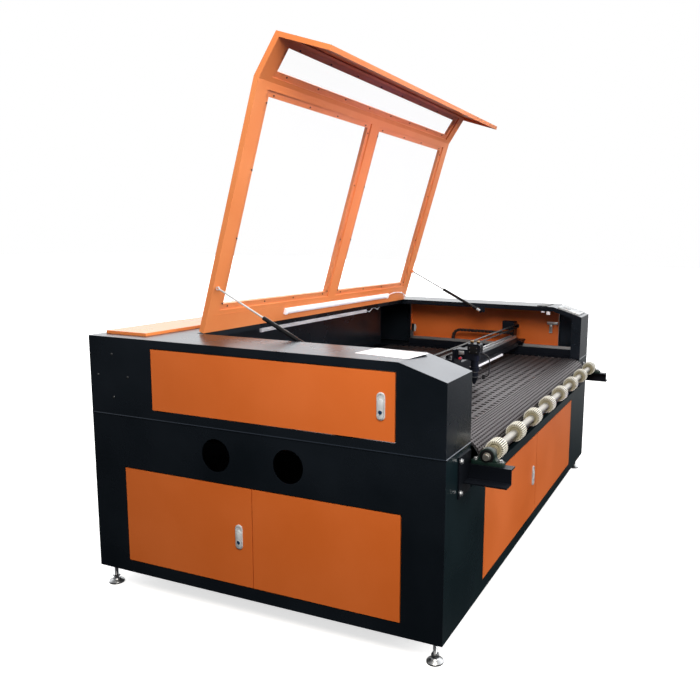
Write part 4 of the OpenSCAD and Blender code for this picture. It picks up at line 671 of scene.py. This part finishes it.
def makeFasteners():
    places = [(s * block["x"], roller["y"] + e * bolt["blockReach"], bolt["blockTop"])
              for s in (-1, 1) for e in (-1, 1)]
    places += [(s * bolt["plateX"], bolt["plateY"], z) for s in (-1, 1) for z in bolt["plateZs"]]
    makeCopies("bracketBolts", hexBolt(zinc), "root", places, [(0, 0, 1)] * 4 + [(0, -1, 0)] * 4, "zinc_steel")
    places, level = [], windows["level"]
    for c in windows["centres"]:
        places += [lidPlace @ Vector((c + x, y, level)) for x in windows["across"] for y in windows["ends"]]
        places += [lidPlace @ Vector((c + s * windows["halfWidth"], y, level)) for s in (-1, 1) for y in windows["up"]]
    facings = [lidPlace.to_3x3() @ Vector((0, 0, -1))] * len(places)
    more = [slopePlace @ Vector((windows["slopeFirst"] + windows["slopePitch"] * k, y, level))
            for k in range(windows["slopeCount"]) for y in windows["slopeYs"]]
    facings += [slopePlace.to_3x3() @ Vector((0, 0, -1))] * len(more)
    part = panScrew(blackPlastic, *windows["screw"])
    makeCopies("windowScrews", part, "lid", places + more, facings, "black_plastic")
    places = [(s * sideScrew["x"], sideScrew["y"] + y, sideScrew["z"] + z)
              for s in (-1, 1) for y, z in sideScrew["offsets"]]
    makeCopies("sideScrews", panScrew(frameSteel, *sideScrew["screw"]), "root", places,
               [(p[0], 0, 0) for p in places], "zinc_steel")


makeFasteners()
print("roller, blocks and fasteners")

# Levelling feet: pad, turned neck, rolled thread, hex nut and lock nut
foot = {"x": 1.243, "ys": (-0.667, 0.834), "top": 0.0795,
        "pad": mm((0, 0), (31, 0), (32, 1), (32, 7), (30, 9.2), (18, 15), (14.5, 19), (14, 22), (9.5, 22.5)),
        "thread": mm(8, 7.1, 23, 1.25), "turns": 45,
        "nut": mm(7.8, 13.5, 15, 1), "nuts": mm((26.5, 35), (78, 90))}


def makeFeet():
    bm = bmesh.new()
    ridge, groove, low, step = foot["thread"]
    thread = [(ridge if k % 2 else groove, low + step * k) for k in range(foot["turns"])]
    addTurned(bm, foot["pad"] + thread + [(0, foot["top"])], sides=30)
    for low, high in foot["nuts"]:
        addTurned(bm, ringProfile(*foot["nut"], low, high), sides=6)
    places = [(s * foot["x"], y, 0) for s in (-1, 1) for y in foot["ys"]]
    makeCopies("levellingFeet", finishMesh(bm, zinc), "root", places, [(0, 0, 1)] * 4, "zinc_steel", "levelling_feet")


makeFeet()

# Drag chain: hollow links with side plates and a cross bar, bent round in a U; boxes are (low, high, bevel)
chain = {"x": 1.200, "bendY": 0.148, "low": 0.7793, "bend": 0.053, "pitch": 0.0252, "lowerLinks": 10, "turnLinks": 7,
         "upperLinks": 15, "blendIn": 0.010,
         "boxes": mm(((-13, -9, -9.8), (-9.8, 9, 9.8), 1.4),
                   ((9.8, -9, -9.8), (13, 9, 9.8), 1.4),
                   ((-10.5, 5, -7.2), (10.5, 8.2, 7.2), 1),
                   ((-10.5, -8.2, -7.2), (10.5, -5, 7.2), 1),
                   ((-9.6, -6.2, -12.5), (9.6, 6.2, 12.5), 1.6))}


def makeChain():
    bm = bmesh.new()
    for box in chain["boxes"]:
        addBox(bm, *box)
    x, y, z, r, step = chain["x"], chain["bendY"], chain["low"], chain["bend"], chain["pitch"]
    links = [(y - (chain["lowerLinks"] - k - 0.5) * step, z, (0, 1, 0)) for k in range(chain["lowerLinks"])]
    for a in [math.pi * (k + 0.5) / chain["turnLinks"] for k in range(chain["turnLinks"])]:
        links.append((y + r * math.sin(a), z + r - r * math.cos(a), (0, math.cos(a), math.sin(a))))
    links += [(y - (k + 0.5) * step, z + 2 * r, (0, -1, 0)) for k in range(chain["upperLinks"])]
    piece = makeCopies("chainLinks", finishMesh(bm, blackPlastic), None, [(x, y, z) for y, z, turn in links],
                       [turn for y, z, turn in links], "black_plastic", "drag_chain")
    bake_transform(piece)


makeChain()

# Lamps: channel with a round diffuser, end caps, and a white lead held to its wall by clips
lamp = {"half": 0.5875, "height": 0.014, "sides": mm((15, 0), (15, 6)), "dome": mm(12.5, 7.5, 6.5), "domeSteps": 14,
        "inset": 0.004, "cap": mm(20, 15.2, 1.6), "clip": mm(6, 4, 5, 0.8), "lead": 0.002, "leadSides": 8,
        "rearLead": ((0.7945, 1.027), (0.854625, 1.013), (0.91475, 1.034), (0.974875, 1.020), (1.02538, 1.041)),
        "rearAt": (0.207, 0.681, 1.027), "rearLeadY": 0.6787, "lidAt": (0.142, -0.052, -0.024), "lidLeadZ": -0.0263,
        "lidLead": ((0.7295, -0.052), (0.81965, -0.066), (0.93985, -0.059), (0.99995, -0.038), (1.014975, -0.0072)),
        "gantry": (((0.247, -0.3028, 0.8075), (0.718, -0.2940, 0.8185), 0.0028),  # diffuser and two caps
                   ((0.245, -0.3030, 0.8070), (0.257, -0.2940, 0.8190), 0.0012),
                   ((0.708, -0.3030, 0.8070), (0.720, -0.2940, 0.8190), 0.0012)),
        "lidSeam": ((-0.990, -0.0815, -0.0250), (0.990, -0.0795, -0.0238), 0.0004)}


def makeLamp(name, body, place, lead, node):
    bm = bmesh.new()
    wide, tall, low = lamp["dome"]
    outline = lamp["sides"] + [(wide * c, low + tall * s) for c, s in unitArc(math.pi, lamp["domeSteps"])]
    outline += [(-y, z) for y, z in reversed(lamp["sides"])]
    reach = lamp["half"] - lamp["inset"]
    addPrism(bm, outline, [(-reach, 1.0), (reach, 1.0)], place)
    length, wide, ease = lamp["cap"]
    for side in (-1, 1):
        low, high = sorted((side * lamp["half"], side * (lamp["half"] - length)))
        addBox(bm, (low, -wide, 0.0), (high, wide, lamp["height"]), ease, place)
    addTube(bm, smoothPath(lead), lamp["lead"], lamp["leadSides"])
    dx, dy, top, ease = lamp["clip"]
    for point in lead[1:-1]:
        spot = place.inverted() @ Vector(point)
        addBox(bm, (spot.x - dx, spot.y - dy, 0.0), (spot.x + dx, spot.y + dy, top), ease, place)
    addPiece(name, bm, lampDiffuser, body, "lamp_white", node)


def makeLamps():
    lead = [(x, lamp["rearLeadY"], z) for x, z in lamp["rearLead"]]
    makeLamp("rearLamp", "root", at(*lamp["rearAt"]) @ turned(90, "X"), lead, "rear_lamp")
    lead = [lidPlace @ Vector((x, y, lamp["lidLeadZ"])) for x, y in lamp["lidLead"]]
    makeLamp("lidLamp", "lid", lidPlace @ at(*lamp["lidAt"]) @ turned(180, "X"), lead, "lid_lamp")
    bm = bmesh.new()
    for box in lamp["gantry"]:
        addBox(bm, *box)
    addPiece("gantryLamp", bm, lampDiffuser, "gantry", "lamp_white", "gantry_lamp")
    bm = bmesh.new()  # folded edge across the lid under its lamp
    addBox(bm, *lamp["lidSeam"], lidPlace)
    addPiece("lidSeam", bm, lidLitOrangeCoat, "lid", "orange_paint")


makeLamps()
print("feet, chain and lamps")

# Locks: rounded silver plate, a finger notch, and below it a long lever that carries the blue key plug
lock = {"plate": mm(33, 100, 16, 0, 2.4, 1), "rim": mm(30.5, 97.5, 14.75), "rimZ": mm(2, 4.2),
        "pocket": mm(26.4, 90.5, 13), "pocketY": -0.0016, "pocketZ": mm(5, 2.2),
        "case": mm((-10, -36, -16), (10, 36, 1), 1), "seat": mm(22.5, 66, 11, 2.2, 2.7, 0.1), "seatY": -0.0115,
        "lever": mm(24, 71.7, 11.8, 3.6, 6.4, 1.4), "leverY": -0.00965, "leverTop": 0.0064,
        "pin": mm((0, -7.5), (1, -7.5), (1, 7.5), (0, 7.5)), "pinY": 0.026, "pinZ": 0.0040,
        "plugY": -0.0215, "plug": mm((0, 0.6), (6.4, 0.6), (7.6, 0.2), (7.8, -0.8)),
        "plugRing": mm((7.8, -0.8), (8, 0.7), (9, 0.7), (9.7, -0.4))}


def makeLock(name, door, handle, node, place):
    plate, seat, plug, lever = bmesh.new(), bmesh.new(), bmesh.new(), bmesh.new()
    addSlab(plate, place, *lock["plate"])
    rim = roundRect(*lock["rim"])
    pocket = [(x, y + lock["pocketY"]) for x, y in roundRect(*lock["pocket"])]
    steps = [(rim, z) for z in lock["rimZ"]] + [(pocket, z) for z in lock["pocketZ"]]
    addRings(plate, [[plate.verts.new(place @ Vector((x, y, z))) for x, y in line] for line, z in steps], False)
    addBox(plate, *lock["case"], place)  # case behind the door's sheet
    # the seat is a dark slab under the lever: painted shade in its recess
    addSlab(seat, place @ at(0, lock["seatY"], 0), *lock["seat"])
    addSlab(lever, place @ at(0, lock["leverY"], 0), *lock["lever"])
    addTurned(lever, lock["pin"], place @ at(0, lock["pinY"], lock["pinZ"]) @ alongX, 14)
    onLever = place @ at(0, lock["plugY"], lock["leverTop"])
    addTurned(plug, lock["plug"], onLever, 24)
    addTurned(lever, lock["plugRing"], onLever, 24)
    addPiece(name + "Plate", plate, paintedChromeReflection, door, "zinc_steel", node)
    addPiece(name + "Seat", seat, recessShade, door, "black_plastic")
    addPiece(name + "Plug", plug, keyBlue, handle, "black_plastic")
    addPiece(name + "Lever", lever, paintedChromeReflection, handle, "zinc_steel", handle)


for name, key, door, outward, place in (
        ("leftUpperLock", "left_upper", "left_upper_door", (-1, 0, 0), (-1.285, -0.464, 0.930)),
        ("rightUpperLock", "right_upper", "right_upper_door", (1, 0, 0), (1.285, -0.464, 0.930)),
        ("leftLowerLock", "left_lower", "left_lower_rear_door", (-1, 0, 0), (-1.285, 0.1455, 0.345)),
        ("rightLowerLock", "right_lower", "right_lower_rear_door", (1, 0, 0), (1.285, 0.1455, 0.345)),
        ("frontLock", "front", "front_left_door", (0, -1, 0), (-0.062, -0.709, 0.345))):
    makeLock(name, door, key + "_handle", key + "_lock", facing(outward, place))

# Latch bar behind the right upper lock, seen on the door's inner face
latch = {"place": (1.269, -0.464, 0.930), "bar": mm(74, 19, 4, 0, 3.5, 0.8), "barAt": (0.011, 0.030, 0),
         "strap": mm(18, 66, 6, 0, 2.5, 0.8), "strapAt": (0, 0.005, 0),
         "nut": mm((0, 9.5), (5.5, 9.5), (7.5, 8), (8, 0))}


def makeLatch():
    bm = bmesh.new()
    inward = facing((-1, 0, 0), latch["place"])
    addSlab(bm, inward @ at(*latch["barAt"]), *latch["bar"])
    addSlab(bm, inward @ at(*latch["strapAt"]), *latch["strap"])
    addTurned(bm, latch["nut"], inward, 6)
    addPiece("latchBar", bm, zinc, "right_upper_door", "zinc_steel")


makeLatch()

# Cutting head: cover plates with screws, knurled brass thumbscrews, clamp rings on the lens tube, gas fitting
head = {"x": -0.110, "y": -0.404, "top": 0.995, "tubeZ": 0.792, "knobReach": 0.0168, "knurl": 0.07,
        "knob": mm((0, 12.8), (6.8, 12.8), (8.4, 11.4), (8.4, 5), (7, 4.2), (4.5, 3.6), (4.5, 0)), "faceReach": 0.030,
        "front": mm(50, 30, 3, -0.4, 3, 0.8), "frontZ": 0.972, "side": mm(48, 40, 3, -0.4, 3, 0.8), "sideZ": 0.966,
        "screw": mm(3, 1.8), "screwAt": mm(18, 10, 3), "ring": mm(19.5, 20.6, 20.9, 0.6),
        "rings": mm((35, 38.5), (60, 62.5)),
        "button": mm((0, 10), (3.6, 10), (4.2, 9), (4.2, 0)), "buttonAt": (0, -0.0255, 0.077)}
fitting = {"place": (-0.165, -0.349, 0.926),
           "body": mm((0, 16), (5, 16), (6.2, 14.5), (6.2, 4), (5, 3)),
           "nut": mm((0, 3.2), (7.8, 3.2), (8.5, 2.4), (8.5, 0)),
           "plate": mm(30, 18, 3, 0, 3, 0.6), "plateAt": (-0.165, -0.352, 0.952)}


def makeHead():
    knobs, trim, rings = bmesh.new(), bmesh.new(), bmesh.new()
    x, y, reach = head["x"], head["y"], head["faceReach"]
    for side in (-1, 1):
        addTurned(knobs, head["knob"], at(x, y + side * head["knobReach"], head["top"]), 40, head["knurl"])
    frontFace = facing((0, -1, 0), (x, y - reach, head["frontZ"]))
    sideFace = facing((-1, 0, 0), (x - reach, y, head["sideZ"]))
    addSlab(trim, frontFace, *head["front"])
    addSlab(trim, sideFace, *head["side"])
    addPiece("headPlates", trim, recessShade, "carriage", "black_paint")
    addPiece("thumbScrews", knobs, brass, "carriage", "zinc_steel")
    dx, dy, dz = head["screwAt"]
    places = [face @ Vector((sx, sy, dz)) for face in (frontFace, sideFace) for sx in (-dx, dx) for sy in (-dy, dy)]
    makeCopies("headScrews", panScrew(frameSteel, *head["screw"]), "carriage", places,
               [(0, -1, 0)] * 4 + [(-1, 0, 0)] * 4, "zinc_steel")
    tube = at(x, y, head["tubeZ"])
    for low, high in head["rings"]:
        addTurned(rings, ringProfile(*head["ring"], low, high), tube, 40)
    addTurned(rings, head["button"], tube @ at(*head["buttonAt"]) @ turned(90, "X"), 20)
    addPiece("tubeRings", rings, frameSteel, "lens", "zinc_steel")


def makeFitting():
    red, silver = bmesh.new(), bmesh.new()
    outward = at(*fitting["place"]) @ turned(-90, "Y")
    addTurned(red, fitting["body"], outward, 20)
    addTurned(silver, fitting["nut"], outward, 6)
    addSlab(silver, facing((-1, 0, 0), fitting["plateAt"]), *fitting["plate"])
    addPiece("gasFitting", red, redPlastic, "carriage", "black_plastic")
    addPiece("gasFittingNut", silver, zinc, "carriage", "zinc_steel")


makeHead()
makeFitting()

# Strut ends: bright sleeve and nut at the foot of each cylinder, dark gland where the rod comes out
strut = {"x": 1.011, "upY": 0.433244, "upZ": 1.283904, "lowY": -0.059, "lowZ": 1.040,
         "sleeve": mm((9.2, 516.5), (9.5, 517.2), (9.5, 520.5), (8, 521.5), (8, 540), (7.2, 541), (0, 541)),
         "gland": mm((4.2, 250.5), (7, 250.5), (8.6, 252), (9.1, 257), (9.1, 264))}


def makeStrutEnds(side, cylinder):
    axis = Vector((0, strut["lowY"] - strut["upY"], strut["lowZ"] - strut["upZ"])).to_track_quat("Z", "Y")
    place = at(side * strut["x"], strut["upY"], strut["upZ"]) @ axis.to_matrix().to_4x4()
    for name, profile, mat, slot in (("End", strut["sleeve"], paintedChromeReflection, "zinc_steel"),
                                     ("Gland", strut["gland"], strutPaint, "black_plastic")):
        bm = bmesh.new()
        addTurned(bm, profile, place, 28)
        addPiece(cylinder + name, bm, mat, cylinder, slot)


makeStrutEnds(-1, "left_cylinder")
makeStrutEnds(1, "right_cylinder")

# Small things on the decks: blank plate, dark plate and switch clips
deck = {"top": 1.0902, "blank": mm(150, 226, 4, 0, 1.2, 0.3), "blankAt": (-1.125, -0.428),
        "blankTurn": -7, "dark": mm(190, 66, 6, 0, 3.5, 1), "darkAt": (1.148, -0.452),
        "clips": (((1.0375, -0.473, 1.051), (1.0500, -0.451, 1.071), 0.0015),
                  ((1.0385, -0.466, 1.069), (1.0450, -0.458, 1.088), 0.0008),
                  ((1.0375, -0.508, 1.039), (1.0500, -0.486, 1.059), 0.0015),
                  ((1.0385, -0.501, 1.057), (1.0450, -0.493, 1.088), 0.0008))}


def makeDeckBits():
    bm = bmesh.new()
    addSlab(bm, at(*deck["blankAt"], deck["top"]) @ turned(deck["blankTurn"], "Z"), *deck["blank"])
    addPiece("blankPlate", bm, whitePlastic, "root", "lamp_white")
    bm = bmesh.new()
    addSlab(bm, at(*deck["darkAt"], deck["top"]), *deck["dark"])
    addPiece("deckPlate", bm, blackPlastic, "root", "black_plastic")
    bm = bmesh.new()
    for box in deck["clips"]:
        addBox(bm, *box)
    addPiece("switchClips", bm, whitePlastic, "root", "lamp_white")


makeDeckBits()
print("locks, head, struts and deck")

# Control panel: film in the sunken face, a dark display and rows of raised keys
panel = {"place": (1.160, -0.709, 1.034), "slope": 17.19, "middle": 0.09475, "sunk": 0.0051,
         "film": mm(176, 116, 4, 0, 0.6, 0.2), "display": mm(70, 46, 2, 0.5, 1.2, 0.3),
         "displayAt": (-0.042, 0.026, 0), "key": mm(17, 12, 2, 0, 1.4, 0.5), "keyZ": 0.0005,
         "columns": 4, "rows": 3, "firstKey": (0.014, 0.040), "keyPitch": (0.022, 0.019),
         "lastRow": 8, "lastRowAt": (-0.072, -0.036)}


def makePanel():
    face = at(*panel["place"]) @ turned(panel["slope"], "X") @ at(0, panel["middle"], panel["sunk"])
    film, glass, key = bmesh.new(), bmesh.new(), bmesh.new()
    addSlab(film, face, *panel["film"])
    addSlab(glass, face @ at(*panel["displayAt"]), *panel["display"])
    addSlab(key, Matrix.Identity(4), *panel["key"])
    addPiece("keypadFilm", film, screen, "root", "grey_panel")
    addPiece("panelDisplay", glass, strutPaint, "root", "black_plastic")
    (firstX, firstY), (pitchX, pitchY), (lastX, lastY) = panel["firstKey"], panel["keyPitch"], panel["lastRowAt"]
    spots = [(firstX + column * pitchX, firstY - row * pitchY)
             for column in range(panel["columns"]) for row in range(panel["rows"])]
    spots += [(lastX + column * pitchX, lastY) for column in range(panel["lastRow"])]
    places = [face @ Vector((*spot, panel["keyZ"])) for spot in spots]
    outward = face.to_3x3() @ Vector((0, 0, 1))
    makeCopies("panelKeys", finishMesh(key, greyPaint), "root", places, [outward] * len(places), "grey_panel")


makePanel()

# Seam: the lower cabinet's folded lip stands a little proud all round and catches the light
seam = {"z": 0.770, "lip": 0.0022, "halfWidth": 1.285, "front": -0.709, "rear": 0.876, "opening": 1.035}


def makeSeam():
    bm = bmesh.new()
    lip, half, front, rear = seam["lip"], seam["halfWidth"], seam["front"], seam["rear"]
    outline = [(0, 0), (-lip, -lip), (-lip, -2 * lip), (0, -2.5 * lip)]
    runs = [(front, 0, -half, -seam["opening"]), (front, 0, seam["opening"], half), (-half, -90, -rear, -front),
            (-half, 90, front, rear), (-rear, 180, -half, half)]  # out, turn about z, from, to
    for out, turn, low, high in runs:
        addPrism(bm, outline, [(low, 1.0), (high, 1.0)], turned(turn, "Z") @ at(0, out, seam["z"]))
    addPiece("cabinetSeam", bm, blackCoat, "root", "black_paint")


makeSeam()
print("control panel and seam")
